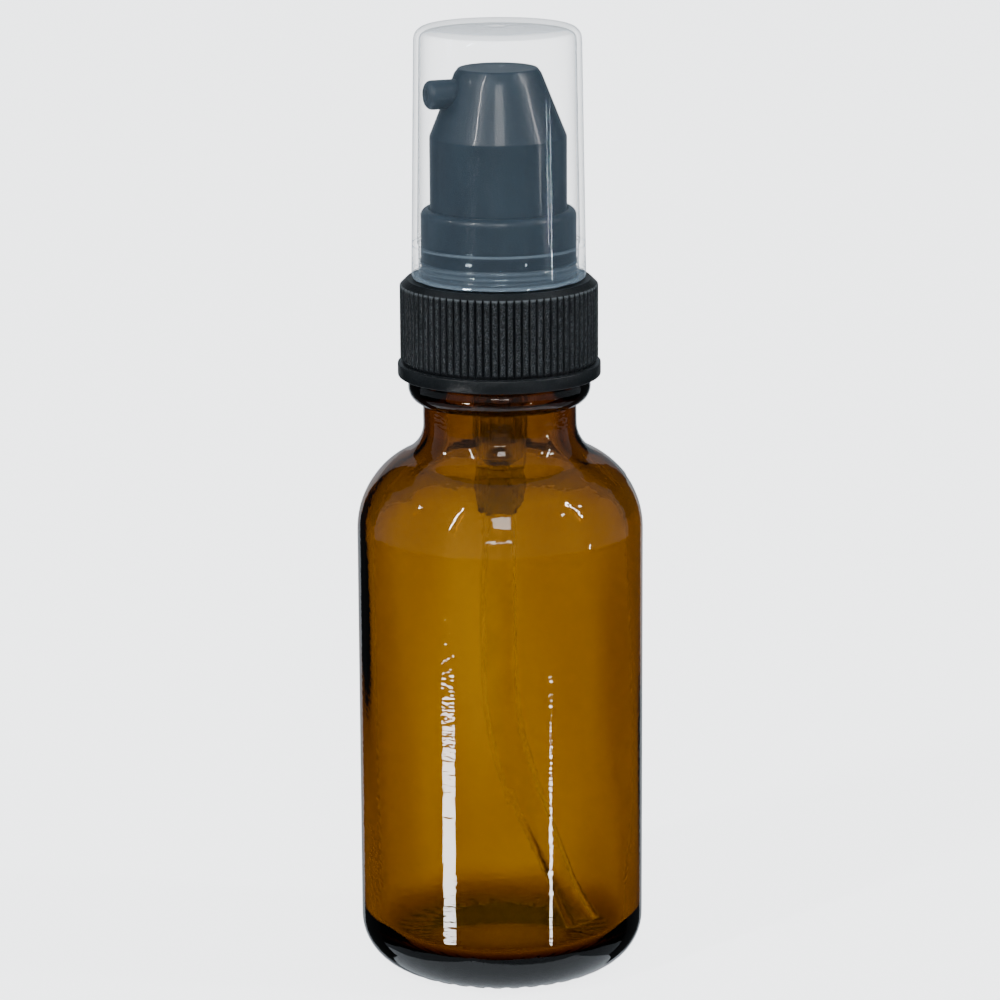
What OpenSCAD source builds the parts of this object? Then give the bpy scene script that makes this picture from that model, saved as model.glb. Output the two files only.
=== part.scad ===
// Small glass bottle with a screw-on soap pump and a clear overcap.
// Origin: centre of the bottle's standing plane. +Z is up and the nozzle points along -X.

/* [Bottle] */
// Outside diameter of the body
body_d = 32.6; // [27:0.1:40]
// Height from the standing plane to the lip
bottle_h = 77.8; // [64:0.1:96]
// Glass thickness of the body and shoulder
glass_wall = 1.9; // [1.4:0.1:2.4]
// Height of the inside floor above the standing plane
floor_h = 4.2; // [3.6:0.1:7]
// Radius of the heel
heel_r = 5.5; // [3.5:0.1:7]
// Radius of the inside corner between floor and wall
floor_corner_r = 2.6; // [1.5:0.1:4]
// Radius of the convex shoulder
shoulder_r = 9.8; // [8:0.1:11]
// Radius of the concave curve from shoulder to neck
neck_curve_r = 3.9; // [3:0.1:5]
// Height of the hollow under the base
push_up_h = 1.2; // [0.6:0.1:2]
// Width of the flat standing ring
stand_ring_w = 1.1; // [0.8:0.1:2]
// Number of radial notches across the standing ring
notch_count = 40; // [24:2:60]
// Depth of each notch
notch_depth = 0.2; // [0.1:0.05:0.3]

/* [Neck finish] */
// Outside diameter of the neck at the thread root
neck_d = 17.4; // [15:0.1:20]
// Bore through the neck
neck_bore = 12.6; // [11:0.1:13.4]
// Outside diameter of the glass thread
thread_d = 19.6; // [19:0.1:20.4]
// Rise of the thread in one turn
thread_pitch = 3.175; // [2.6:0.005:3.6]
// Turns of thread on the glass
thread_turns = 1.1; // [0.8:0.05:1.2]
// Height from the lip down to the top of the bead
finish_h = 7.7; // [7.2:0.1:9]
// Height of the bead
bead_h = 3.8; // [2.8:0.1:4.4]
// How far the bead stands out from the neck
bead_proud = 1.65; // [1:0.05:1.8]
// Straight neck between the bead and the neck curve
neck_h = 2.5; // [1.5:0.1:4]
// Radius on the two edges of the lip
lip_r = 0.6; // [0.3:0.1:0.9]

/* [Closure] */
// Height of the screw closure
closure_h = 11.1; // [10.5:0.1:12]
// Outside diameter over the ribs
closure_d = 22.4; // [22.2:0.1:25]
// Outside diameter of the plain band at the bottom
band_d = 23; // [22.6:0.1:26]
// Height of the plain band
band_h = 1.6; // [1:0.1:2]
// Number of grip ribs
rib_count = 80; // [40:4:100]
// Depth of the grooves between the ribs
rib_depth = 0.3; // [0.15:0.05:0.35]
// Thickness of the closure's top wall
closure_top_t = 0.9; // [0.6:0.1:1.4]
// Chamfer round the top edge
closure_chamfer = 0.5; // [0.3:0.1:0.8]
// Thickness of the sealing gasket
gasket_t = 0.8; // [0.5:0.1:1.5]

/* [Pump body] */
// Bore of the pump chamber
chamber_bore = 8; // [7:0.1:9.6]
// Wall of the pump chamber
chamber_wall = 0.9; // [0.7:0.05:1.1]
// Length of the chamber below the flange
chamber_drop = 10.3; // [9.5:0.1:13]
// Length of the housing above the flange
turret_h = 7.3; // [7:0.1:9]
// Thickness of the housing's flange
flange_t = 0.9; // [0.7:0.1:1.2]
// Diameter of the housing's flange
flange_d = 16.8; // [15:0.1:17]
// Outside diameter of the spring well
well_d = 5.58; // [5.3:0.02:6.2]
// Bore of the spring well
well_bore = 4.5; // [4.3:0.05:4.7]
// Length of the spring well
well_h = 5.2; // [4.5:0.1:7]
// Diameter over the ribs of the spring well
well_rib_d = 6.36; // [6:0.02:7]
// Number of ribs round the spring well
well_rib_count = 12; // [6:1:16]
// Diameter of the inlet ball
ball_d = 3; // [2.6:0.1:3.1]
// How far the ball can lift off its seat
ball_lift = 0.5; // [0.3:0.05:0.8]
// Depth of the socket for the dip tube
socket_h = 3.6; // [3:0.1:5]

/* [Plunger] */
// Travel of the actuator
stroke = 4; // [3:0.1:4.2]
// Outside diameter of the stem
stem_d = 3.8; // [3.2:0.02:4.6]
// Bore of the stem
stem_bore = 2.1; // [1.6:0.1:2.4]
// Wire diameter of the return spring
wire_d = 0.45; // [0.35:0.05:0.55]
// Free turns of the return spring
spring_turns = 8; // [6:1:10]

/* [Dip tube] */
// Outside diameter of the dip tube
tube_d = 3.84; // [3.4:0.02:4]
// Bore of the dip tube
tube_bore = 2.6; // [1.6:0.1:2.8]
// Angle of the tube's foot to the vertical
tube_tilt = 25; // [20:0.5:34]
// Radius of the tube's bend
tube_bend_r = 40; // [25:1:45]
// Compass direction of the foot, anticlockwise from +X
tube_turn = -38; // [-180:1:180]
// Gap between the tube's foot and the wall of the bottle
tube_foot_gap = 3; // [1:0.1:5]

/* [Collar and actuator] */
// Height of the collar above the closure
collar_h = 7.9; // [7:0.1:9]
// Thickness of the collar's wall
collar_wall = 0.9; // [0.7:0.05:1]
// Thickness of the collar's floor
collar_floor_t = 1; // [0.8:0.1:1.3]
// Outside diameter of the actuator's skirt
head_d = 15.42; // [15:0.02:18.6]
// Height of the actuator's top above the collar
head_h = 15.7; // [14.5:0.1:18]
// Height of the cone on the actuator
cone_h = 7.65; // [6:0.05:9]
// Diameter of the actuator's flat top
head_top_d = 9.24; // [8:0.02:11]
// Wall of the actuator's skirt
head_wall = 0.95; // [0.8:0.05:1.05]
// Outside diameter of the nozzle
nozzle_d = 3.3; // [2.8:0.05:3.5]
// Reach of the nozzle from the axis
nozzle_reach = 8.55; // [7.5:0.05:8.7]
// Distance from the actuator's top down to the nozzle's axis
nozzle_drop = 2.67; // [2.3:0.01:3.4]
// Bore of the nozzle
nozzle_bore = 1.4; // [0.8:0.1:1.8]
// Rounding of the nozzle's tip
nozzle_round = 0.75; // [0.3:0.05:0.9]

/* [Overcap] */
// Height of the overcap
overcap_h = 28.2; // [28:0.1:34]
// Wall of the overcap
overcap_wall = 0.6; // [0.5:0.05:0.65]
// Diameter lost from the overcap's rim to its top
overcap_draft = 0.92; // [0.4:0.02:1]
// Radius of the overcap's top edge
overcap_edge_r = 1.4; // [0.8:0.1:2]
// Number of snap beads inside the rim
snap_count = 3; // [1:1:3]

/* [Hidden] */

round_fn = 96; // facets of a drawn circle
small_fn = 32; // facets of a small drawn circle
play = 0.1; // gap between pieces that turn or slide on each other
slip = 0.03; // gap between pieces that fit closely
rest_gap = 0.3; // gap below a piece that is held from above
overlap = 0.4; // how far a joined shape is sunk into its parent

// Bottle
body_r = body_d / 2;
neck_r = neck_d / 2;
bore_r = neck_bore / 2;
inner_r = body_r - glass_wall;
bead_top_z = bottle_h - finish_h;
bead_z = bead_top_z - bead_h / 2;
neck_curve_z = bead_top_z - bead_h - neck_h;
inner_curve_r = neck_curve_r + glass_wall;
stand_r = body_r - heel_r;
stand_in_r = stand_r - stand_ring_w;
thread_base_w = 2;
thread_crest_w = 0.9;
thread_z = bead_top_z + 0.4 + thread_base_w / 2;
thread_fade = 30; // degrees over which a thread runs out

// Stack on the lip
gasket_z = bottle_h;
flange_z = gasket_z + gasket_t;
flange_top_z = flange_z + flange_t;
closure_roof_z = flange_top_z + play;
closure_top_z = closure_roof_z + closure_top_t;
closure_z = closure_top_z - closure_h;
collar_z = closure_top_z + play;
collar_floor_z = collar_z + collar_floor_t;
collar_top_z = collar_z + collar_h;
head_top_z = collar_top_z + head_h;

// Closure
rib_root_r = closure_d / 2 - rib_depth;
rib_bury = 0.05;
closure_root_r = thread_d / 2 + 0.35;
closure_thread_r = neck_r + 0.5;
closure_entry_r = neck_r + bead_proud + 0.4;
closure_thread_base_w = 1.6;
closure_thread_crest_w = 0.6;
thread_flank_gap = 0.18;
closure_thread_from = 150; // degrees from +X, anticlockwise, as the thread climbs
closure_thread_to = 480;
closure_sink = min(overlap, (rib_root_r - closure_root_r) / 2);
thread_meet_r = (thread_d / 2 + closure_thread_r) / 2;
closure_thread_z = thread_z - thread_flank_gap
    - ridge_w(thread_meet_r, neck_r - overlap, thread_base_w, thread_d / 2, thread_crest_w) / 2
    - ridge_w(thread_meet_r, closure_root_r + closure_sink, closure_thread_base_w,
              closure_thread_r, closure_thread_crest_w) / 2;
spigot_r = chamber_bore / 2 + chamber_wall + 1.1;
closure_hole_r = spigot_r + play;

// Pump housing
chamber_r = chamber_bore / 2;
chamber_out_r = chamber_r + chamber_wall;
chamber_z = flange_z - chamber_drop;
well_top_z = chamber_z - 1.2;
spring_seat_z = well_top_z - well_h;
nub_t = 0.4;
pocket_r = ball_d / 2 + 0.22;
ball_hole_r = 0.9;
seat_slope = 36.7; // degrees between the ball's seat and the axis
seat_h = (pocket_r - ball_hole_r) / tan(seat_slope);
ball_over_seat = (ball_d / 2 + 0.02 - ball_hole_r * cos(seat_slope)) / sin(seat_slope);
pocket_h = ball_over_seat + ball_d / 2 + ball_lift + 0.05;
seat_z = spring_seat_z - nub_t - pocket_h;
ball_z = seat_z + ball_over_seat;
socket_top_z = seat_z - 0.8;
socket_z = socket_top_z - socket_h;
housing_top_z = flange_top_z + turret_h;

// Plunger
stem_r = stem_d / 2;
guide_plate_t = 1;
guide_skirt_h = 2.6;
guide_clip_h = 2.2;
guide_z = housing_top_z - guide_skirt_h;
piston_h = 6.8;
piston_top_z = guide_z - rest_gap;
piston_z = piston_top_z - piston_h;
plug_head_t = 0.8;
plug_z = piston_z - 0.05 - plug_head_t;
plug_top_z = plug_z + plug_head_t;
plug_spigot_h = 1.6;
plug_tail_h = 3.7;
plug_head_r = stem_r + 1;
port_w = 0.8;
port_h = 0.7;
stem_top_z = head_top_z - nozzle_drop - nozzle_d / 2 - 1.9;
spring_r = well_bore / 2 - wire_d / 2 - 0.15;
spring_len = plug_z - spring_seat_z;

// Collar and actuator
head_r = head_d / 2;
collar_in_r = head_r + play + 0.04;
collar_r = collar_in_r + collar_wall;
collar_hub_h = 2;
collar_bead = 0.08;
skirt_z = collar_floor_z + stroke + rest_gap;
cone_z = head_top_z - cone_h;
nozzle_z = head_top_z - nozzle_drop;
roof_t = 1.3;
roof_z = head_top_z - roof_t;
hub_r = stem_r + 1.1;
hub_z = housing_top_z + guide_plate_t + stroke + 2 * rest_gap;
head_rib_t = 0.8;

// Overcap
overcap_z = closure_top_z + play;
overcap_top_z = overcap_z + overcap_h;
snap_pitch = 0.6;
snap_h = 0.3;
overcap_skirt_h = 3.8; // height of the thicker rim
overcap_rim_r = collar_r + collar_bead + 0.09; // inside radius over the snap beads
overcap_r = overcap_rim_r + 0.92;

// Dip tube
tube_r = tube_d / 2;
tube_foot_z = floor_h + rest_gap + tube_r * sin(tube_tilt);
tube_foot_r = inner_r - tube_foot_gap - tube_r * cos(tube_tilt);
tube_leg = (tube_foot_r - tube_bend_r * (1 - cos(tube_tilt))) / sin(tube_tilt);
tube_bend_z = tube_foot_z + tube_bend_r * sin(tube_tilt) + tube_leg * cos(tube_tilt);
tube_top_z = socket_top_z - 0.05;
tube_sides = 32;
tube_bend_steps = 12;

// Points along a round stretch of an outline
function arc(x, z, r, from, to, steps = 8) =
    [for (i = [0:steps]) let (a = from + (to - from) * i / steps) [x + r * cos(a), z + r * sin(a)]];

// Points along half an ellipse that bulges outwards
function bulge(x, z, proud, half_h, steps = 12) =
    [for (i = [0:steps]) let (a = -90 + 180 * i / steps) [x + proud * cos(a), z + half_h * sin(a)]];

// Height between the centres of a shoulder arc and the neck arc that touches it
function rise(shoulder_x, curve_x, radii) = sqrt(radii * radii - pow(curve_x - shoulder_x, 2));

module lathe(outline) {
    rotate_extrude($fn = round_fn) polygon(outline);
}

// Width at radius r of a ridge that tapers from its foot to its crest
function ridge_w(r, foot_r, foot_w, crest_r, crest_w) =
    foot_w + (crest_w - foot_w) * (r - foot_r) / (crest_r - foot_r);

// One ring of a thread's cross-section: sunk into the wall at its foot, with a flat crest
function thread_ring(a, z, foot_r, foot_w, crest_r, crest_w) = [
    for (p = [[foot_r, -foot_w / 2], [crest_r, -crest_w / 2], [crest_r, crest_w / 2], [foot_r, foot_w / 2]])
        [p[0] * cos(a), p[0] * sin(a), z + p[1]]
];

// A helical ridge from a wall to its crest, outwards or inwards, that runs out into the wall at both ends
module thread(wall_r, crest_r, z, sink, foot_w, crest_w, from, to) {
    ring_step = 7.5; // degrees between rings
    count = ceil((to - from) / ring_step);
    side = 4;
    outwards = crest_r > wall_r;
    foot_r = outwards ? wall_r - sink : wall_r + sink;
    buried_r = (foot_r + wall_r) / 2;
    rings = [
        for (i = [0:count])
            let (a = from + (to - from) * i / count,
                 fade = min(1, (a - from) / thread_fade, (to - a) / thread_fade))
            each thread_ring(a, z + thread_pitch * a / 360, foot_r, foot_w,
                             buried_r + (crest_r - buried_r) * fade, crest_w)
    ];
    quads = [
        for (i = [0:count - 1], k = [0:side - 1])
            let (a = i * side + k, b = i * side + (k + 1) % side) [a, b, b + side, a + side]
    ];
    ends = [[for (k = [side - 1:-1:0]) k], [for (k = [0:side - 1]) count * side + k]];
    faces = concat(quads, ends);
    flipped = [for (f = faces) [for (k = [len(f) - 1:-1:0]) f[k]]];
    polyhedron(rings, outwards ? faces : flipped, convexity = 6);
}

// Outline from the standing ring's outside up to the neck curve, for the outside or inside of the glass
function flank(r, foot_r, foot_z, shoulder, curve, throat_r) =
    let (shoulder_x = r - shoulder,
         curve_x = throat_r + curve,
         height = rise(shoulder_x, curve_x, shoulder + curve),
         lean = atan2(height, curve_x - shoulder_x))
    concat(arc(r - foot_r, foot_z + foot_r, foot_r, -90, 0),
           arc(shoulder_x, neck_curve_z - height, shoulder, 0, lean, 14),
           arc(curve_x, neck_curve_z, curve, 180 + lean, 180));

function base_outline() =
    let (dome_r = (stand_in_r * stand_in_r + push_up_h * push_up_h) / (2 * push_up_h))
    concat([[0, push_up_h]], arc(0, push_up_h - dome_r, dome_r, 84, acos(stand_in_r / dome_r)));

function lip_outline() =
    concat(arc(neck_r - lip_r, bottle_h - lip_r, lip_r, 0, 90, 4),
           arc(bore_r + lip_r, bottle_h - lip_r, lip_r, 90, 180, 4));

function inside_outline() =
    let (up = flank(inner_r, floor_corner_r, floor_h, shoulder_r - glass_wall, inner_curve_r, bore_r))
    concat([for (i = [len(up) - 1:-1:0]) up[i]], [[0, floor_h]]);

module stand_notches() {
    notch_r = 0.5;
    for (i = [0:notch_count - 1])
        rotate([0, 0, (i + 0.5) * 360 / notch_count])
            translate([stand_in_r - 1, 0, notch_depth - notch_r])
                rotate([0, 90, 0])
                    cylinder(r = notch_r, h = stand_ring_w + 4, $fn = small_fn);
}

module bottle() {
    color([0.36, 0.17, 0.02, 0.7]) union() {
        difference() {
            lathe(concat(base_outline(),
                         flank(body_r, heel_r, 0, shoulder_r, neck_curve_r, neck_r),
                         bulge(neck_r, bead_z, bead_proud, bead_h / 2),
                         lip_outline(),
                         inside_outline()));
            stand_notches();
        }
        thread(neck_r, thread_d / 2, thread_z, overlap, thread_base_w, thread_crest_w, 0, 360 * thread_turns);
    }
}

// Radius of the ribbed wall at an angle: a row of rounded ridges, with valleys buried in the wall
function rib_r(a) = rib_root_r - rib_bury + (rib_depth + rib_bury) * pow(abs(cos(a * rib_count / 2)), 0.6);

module rib_ring() {
    rib_points = rib_count * 8;
    translate([0, 0, closure_z + band_h - 0.1])
        linear_extrude(closure_h - band_h - closure_chamfer - 0.3)
            difference() {
                polygon([for (i = [0:rib_points - 1])
                    let (a = i * 360 / rib_points) rib_r(a) * [cos(a), sin(a)]]);
                circle(r = rib_root_r - overlap, $fn = round_fn);
            }
}

module closure() {
    entry_h = 1.2;
    color([0.07, 0.08, 0.09]) union() {
        lathe([
            [closure_entry_r, closure_z],
            [band_d / 2 - 0.2, closure_z],
            [band_d / 2, closure_z + 0.2],
            [band_d / 2, closure_z + band_h - 0.1],
            [rib_root_r, closure_z + band_h],
            [rib_root_r, closure_top_z - closure_chamfer],
            [rib_root_r - closure_chamfer, closure_top_z],
            [closure_hole_r, closure_top_z],
            [closure_hole_r, closure_roof_z],
            [closure_root_r, closure_roof_z],
            [closure_root_r, closure_z + entry_h + 0.4],
            [closure_entry_r, closure_z + entry_h]
        ]);
        rib_ring();
        thread(closure_root_r, closure_thread_r, closure_thread_z, closure_sink,
               closure_thread_base_w, closure_thread_crest_w, closure_thread_from, closure_thread_to);
    }
}

module gasket() {
    color([0.9, 0.9, 0.88]) difference() {
        translate([0, 0, gasket_z]) cylinder(d = flange_d, h = gasket_t, $fn = round_fn);
        translate([0, 0, gasket_z - 1]) cylinder(r = chamber_out_r + play, h = gasket_t + 2, $fn = round_fn);
    }
}

module well_ribs() {
    rib_w = 0.5;
    for (i = [0:well_rib_count - 1])
        rotate([0, 0, (i + 0.5) * 360 / well_rib_count])
            translate([well_d / 2 - 0.2, -rib_w / 2, spring_seat_z + 0.2])
                cube([(well_rib_d - well_d) / 2 + 0.2, rib_w, well_h + 0.4]);
}

// Four stops that keep the ball below the spring
module ball_nubs() {
    reach = ball_d / 2 - 0.2;
    nub_w = 0.6;
    for (i = [0:3])
        rotate([0, 0, 45 + 90 * i])
            translate([reach, -nub_w / 2, spring_seat_z - nub_t])
                cube([pocket_r + 0.2 - reach, nub_w, nub_t]);
}

module pump_housing() {
    well_r = well_d / 2;
    socket_r = tube_r + slip;
    tip_r = socket_r + 0.5;
    tip_taper_h = 2.6;
    color([0.92, 0.92, 0.9]) union() {
        lathe([
            [socket_r + 0.15, socket_z],
            [tip_r, socket_z],
            [well_r, socket_z + tip_taper_h],
            [well_r, well_top_z],
            [chamber_out_r, chamber_z],
            [chamber_out_r, flange_z],
            [flange_d / 2, flange_z],
            [flange_d / 2, flange_top_z],
            [chamber_out_r, flange_top_z],
            [chamber_out_r, housing_top_z],
            [chamber_r, housing_top_z],
            [chamber_r, chamber_z + 0.4],
            [well_bore / 2, well_top_z + 0.4],
            [well_bore / 2, spring_seat_z],
            [pocket_r, spring_seat_z],
            [pocket_r, seat_z + seat_h],
            [ball_hole_r, seat_z],
            [ball_hole_r, socket_top_z],
            [socket_r, socket_top_z],
            [socket_r, socket_z + 0.4]
        ]);
        well_ribs();
        ball_nubs();
    }
}

// Stations along the tube, from its foot to its top: x, z and the tilt there
function tube_route() =
    let (bend_x = tube_bend_r * (1 - cos(tube_tilt)))
    concat([[bend_x + tube_leg * sin(tube_tilt), tube_foot_z, tube_tilt]],
           [for (i = [0:tube_bend_steps])
               let (t = tube_tilt * (1 - i / tube_bend_steps))
               [tube_bend_r * (1 - cos(t)), tube_bend_z - tube_bend_r * sin(t), t]],
           [[0, tube_top_z, 0]]);

// One ring round a station
function tube_ring(station, r) = [
    for (k = [0:tube_sides - 1])
        let (b = 360 * k / tube_sides, u = r * cos(b))
        [station[0] + u * cos(station[2]), r * sin(b), station[1] + u * sin(station[2])]
];

module dip_tube() {
    route = tube_route();
    last = len(route) - 1;
    skin = tube_sides * len(route); // points on the outer skin, and on the inner one
    points = concat([for (station = route) each tube_ring(station, tube_r)],
                    [for (station = route) each tube_ring(station, tube_bore / 2)]);
    pairs = [for (k = [0:tube_sides - 1]) [k, (k + 1) % tube_sides]];
    outside = [for (i = [0:last - 1], p = pairs)
        [p[0], p[0] + tube_sides, p[1] + tube_sides, p[1]] + [for (k = [0:3]) i * tube_sides]];
    inside = [for (i = [0:last - 1], p = pairs)
        [p[0], p[1], p[1] + tube_sides, p[0] + tube_sides] + [for (k = [0:3]) skin + i * tube_sides]];
    foot = [for (p = pairs) [p[0], p[1], p[1] + skin, p[0] + skin]];
    top = [for (p = pairs) [p[0], p[0] + skin, p[1] + skin, p[1]] + [for (k = [0:3]) last * tube_sides]];
    color([0.9, 0.88, 0.8]) rotate([0, 0, tube_turn])
        polyhedron(points, concat(outside, inside, foot, top), convexity = 6);
}

module inlet_ball() {
    color([0.75, 0.76, 0.78]) translate([0, 0, ball_z]) sphere(d = ball_d, $fn = small_fn);
}

// Height of the spring's wire after a number of turns: close at both ends, open between them
function coil_z(t) =
    let (end = 1, gap = spring_len - wire_d * (2 * end + 1), total = spring_turns + 2 * end)
    spring_seat_z + wire_d / 2 + wire_d * min(t, end) + gap * max(0, min(t - end, spring_turns)) / spring_turns
        + wire_d * max(0, t - total + end);

module return_spring() {
    sides = 8;
    per_turn = 16;
    total = (spring_turns + 2) * per_turn;
    points = [
        for (i = [0:total], k = [0:sides - 1])
            let (a = 360 * i / per_turn, b = 360 * k / sides, r = spring_r + wire_d / 2 * cos(b))
            [r * cos(a), r * sin(a), coil_z(i / per_turn) + wire_d / 2 * sin(b)]
    ];
    skin = [
        for (i = [0:total - 1], k = [0:sides - 1])
            let (a = i * sides + k, b = i * sides + (k + 1) % sides) [a, b, b + sides, a + sides]
    ];
    ends = [[for (k = [sides - 1:-1:0]) k], [for (k = [0:sides - 1]) total * sides + k]];
    color([0.72, 0.73, 0.75]) polyhedron(points, concat(skin, ends), convexity = 10);
}

// Slot across the stem's foot that lets liquid in once the piston lags behind
module stem_port(h) {
    translate([-stem_d, -port_w / 2, plug_top_z]) cube([2 * stem_d, port_w, h]);
}

module stem_plug() {
    tail_r = spring_r - wire_d / 2 - 0.25;
    spigot_top_z = plug_top_z + plug_spigot_h;
    color([0.93, 0.93, 0.91]) difference() {
        lathe(concat(
            [[0, plug_z - plug_tail_h]],
            arc(tail_r - 0.5, plug_z - plug_tail_h + 0.5, 0.5, -90, 0, 4),
            [[tail_r, plug_z], [plug_head_r, plug_z], [plug_head_r, plug_top_z - 0.2],
             [plug_head_r - 0.2, plug_top_z], [stem_bore / 2, plug_top_z],
             [stem_bore / 2, spigot_top_z], [0, spigot_top_z]]));
        stem_port(plug_spigot_h + 1);
    }
}

module piston() {
    hub_in_r = stem_r + 0.05;
    hub_out_r = hub_in_r + 0.65;
    seal_r = chamber_r - slip;
    sleeve_in_r = seal_r - 0.55;
    sleeve_z = piston_z + 1.3;
    sleeve_top_z = piston_top_z - 0.5;
    web_z = (piston_z + piston_top_z) / 2;
    color([0.95, 0.95, 0.93]) lathe([
        [hub_in_r, piston_z],
        [hub_out_r, piston_z],
        [hub_out_r, web_z - 0.4],
        [sleeve_in_r, web_z - 0.4],
        [seal_r - 0.2, sleeve_z],
        [seal_r, sleeve_z],
        [seal_r, sleeve_z + 0.6],
        [seal_r - 0.15, sleeve_z + 1],
        [seal_r - 0.15, sleeve_top_z - 1],
        [seal_r, sleeve_top_z - 0.6],
        [seal_r, sleeve_top_z],
        [seal_r - 0.2, sleeve_top_z],
        [sleeve_in_r, web_z + 0.4],
        [hub_out_r, web_z + 0.4],
        [hub_out_r, piston_top_z],
        [hub_in_r, piston_top_z]
    ]);
}

module stem() {
    color([0.93, 0.93, 0.91]) difference() {
        translate([0, 0, plug_top_z]) cylinder(r = stem_r, h = stem_top_z - plug_top_z, $fn = round_fn);
        translate([0, 0, plug_top_z - 1]) cylinder(d = stem_bore, h = stem_top_z - plug_top_z + 2, $fn = round_fn);
        stem_port(port_h);
    }
}

module stem_guide() {
    skirt_out_r = chamber_r - slip;
    clip_in_r = chamber_out_r + slip;
    clip_out_r = clip_in_r + 0.6;
    plate_top_z = housing_top_z + guide_plate_t;
    color([0.93, 0.93, 0.91]) lathe([
        [stem_r + play, housing_top_z - 0.6],
        [stem_r + play + 0.9, housing_top_z - 0.6],
        [stem_r + play + 0.9, housing_top_z],
        [skirt_out_r - 0.7, housing_top_z],
        [skirt_out_r - 0.7, guide_z],
        [skirt_out_r, guide_z],
        [skirt_out_r, housing_top_z],
        [clip_in_r, housing_top_z],
        [clip_in_r, housing_top_z - guide_clip_h],
        [clip_out_r, housing_top_z - guide_clip_h],
        [clip_out_r, plate_top_z - 0.3],
        [clip_out_r - 0.3, plate_top_z],
        [stem_r + play, plate_top_z]
    ]);
}

module collar() {
    hub_in_r = chamber_out_r + slip;
    hub_out_r = hub_in_r + 0.6;
    bead_z = collar_z + 1.8;
    color([0.15, 0.19, 0.24]) lathe(concat(
        [[hub_in_r, flange_top_z],
         [spigot_r, flange_top_z],
         [spigot_r, collar_z],
         [collar_r - 0.15, collar_z],
         [collar_r, collar_z + 0.15],
         [collar_r, bead_z - 0.3],
         [collar_r + collar_bead, bead_z],
         [collar_r, bead_z + 0.3]],
        arc(collar_in_r, collar_top_z - collar_wall, collar_wall, 0, 90, 6),
        [[collar_in_r, collar_floor_z],
         [hub_out_r, collar_floor_z],
         [hub_out_r, collar_floor_z + collar_hub_h],
         [hub_in_r, collar_floor_z + collar_hub_h]]));
}

module nozzle() {
    translate([0, 0, nozzle_z])
        rotate([0, -90, 0])
            lathe(concat([[0, 0], [nozzle_d / 2, 0]],
                         arc(nozzle_d / 2 - nozzle_round, nozzle_reach - nozzle_round, nozzle_round, 0, 90, 6),
                         [[0, nozzle_reach]]));
}

// Fins that tie the hub to the skirt inside the actuator
module head_fins() {
    inner = head_r - head_wall;
    fin_z = hub_z + 1.5;
    intersection() {
        union() for (a = [0, 90])
            rotate([0, 0, a])
                translate([-inner - 0.2, -head_rib_t / 2, fin_z])
                    cube([2 * inner + 0.4, head_rib_t, roof_z - fin_z + 0.2]);
        head_shell();
    }
}

// Outside of the actuator as a solid
module head_shell() {
    edge_r = 0.3;
    dish = 0.15;
    top_r = head_top_d / 2;
    lathe([
        [0, skirt_z],
        [head_r, skirt_z],
        [head_r, cone_z],
        [top_r + 0.12, head_top_z - edge_r],
        [top_r - 0.12, head_top_z],
        [top_r - 0.5, head_top_z],
        [0, head_top_z - dish]
    ]);
}

// Hollow under the actuator, outside its hub
module head_hollow() {
    inner = head_r - head_wall;
    taper = (head_r - head_top_d / 2) / cone_h;
    lathe([
        [hub_r, skirt_z - 1],
        [inner, skirt_z - 1],
        [inner, cone_z - 0.4],
        [inner - taper * (roof_z - cone_z + 0.4), roof_z],
        [hub_r, roof_z]
    ]);
}

module actuator() {
    socket_r = stem_r + slip;
    color([0.15, 0.19, 0.24]) difference() {
        union() {
            difference() {
                head_shell();
                head_hollow();
                translate([0, 0, skirt_z - 1]) cylinder(r = hub_r + 0.01, h = hub_z - skirt_z + 1, $fn = round_fn);
            }
            head_fins();
            nozzle();
        }
        translate([0, 0, skirt_z - 1]) cylinder(r = socket_r, h = stem_top_z + play - skirt_z + 1, $fn = round_fn);
        translate([0, 0, stem_top_z]) cylinder(d = stem_bore, h = nozzle_z - stem_top_z, $fn = round_fn);
        translate([0, 0, nozzle_z]) sphere(d = stem_bore, $fn = small_fn);
        translate([0, 0, nozzle_z]) rotate([0, -90, 0]) cylinder(d = nozzle_bore, h = nozzle_reach + 1, $fn = small_fn);
    }
}

module overcap() {
    top_r = overcap_r - overcap_draft / 2;
    inner_top_r = top_r - overcap_wall;
    inner_edge_r = overcap_edge_r - overcap_wall;
    step_z = overcap_z + overcap_skirt_h;
    inner_step_r = overcap_r - overcap_wall - overcap_draft / 2 * overcap_skirt_h / overcap_h;
    bead_r = overcap_rim_r;
    groove_r = bead_r + 0.14;
    color([0.85, 0.9, 0.93, 0.3]) lathe(concat(
        [[groove_r, overcap_z],
         [overcap_r - 0.2, overcap_z],
         [overcap_r, overcap_z + 0.2]],
        arc(top_r - overcap_edge_r, overcap_top_z - overcap_edge_r, overcap_edge_r, 0, 90, 6),
        [[0, overcap_top_z], [0, overcap_top_z - overcap_wall]],
        arc(inner_top_r - inner_edge_r, overcap_top_z - overcap_wall - inner_edge_r, inner_edge_r, 90, 0, 4),
        [[inner_step_r, step_z + 0.2], [groove_r, step_z - 0.1]],
        [for (i = [snap_count - 1:-1:0], p = [[groove_r, 1], [bead_r, 0.4], [bead_r, -0.4], [groove_r, -1]])
            [p[0], overcap_z + 0.7 + i * snap_pitch + p[1] * snap_h / 2]]));
}

bottle();
closure();
gasket();
pump_housing();
dip_tube();
inlet_ball();
return_spring();
stem_plug();
piston();
stem();
stem_guide();
collar();
actuator();
overcap();
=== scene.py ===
"""Soap pump dispenser: an amber glass bottle, a ribbed screw closure, a treatment pump and a clear overcap.

Every piece is modelled in millimetres round the Z axis and scaled to metres at the end. Outer sizes come
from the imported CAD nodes, and walls, radii and gaps are the fields of each sub-assembly.
"""

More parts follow.
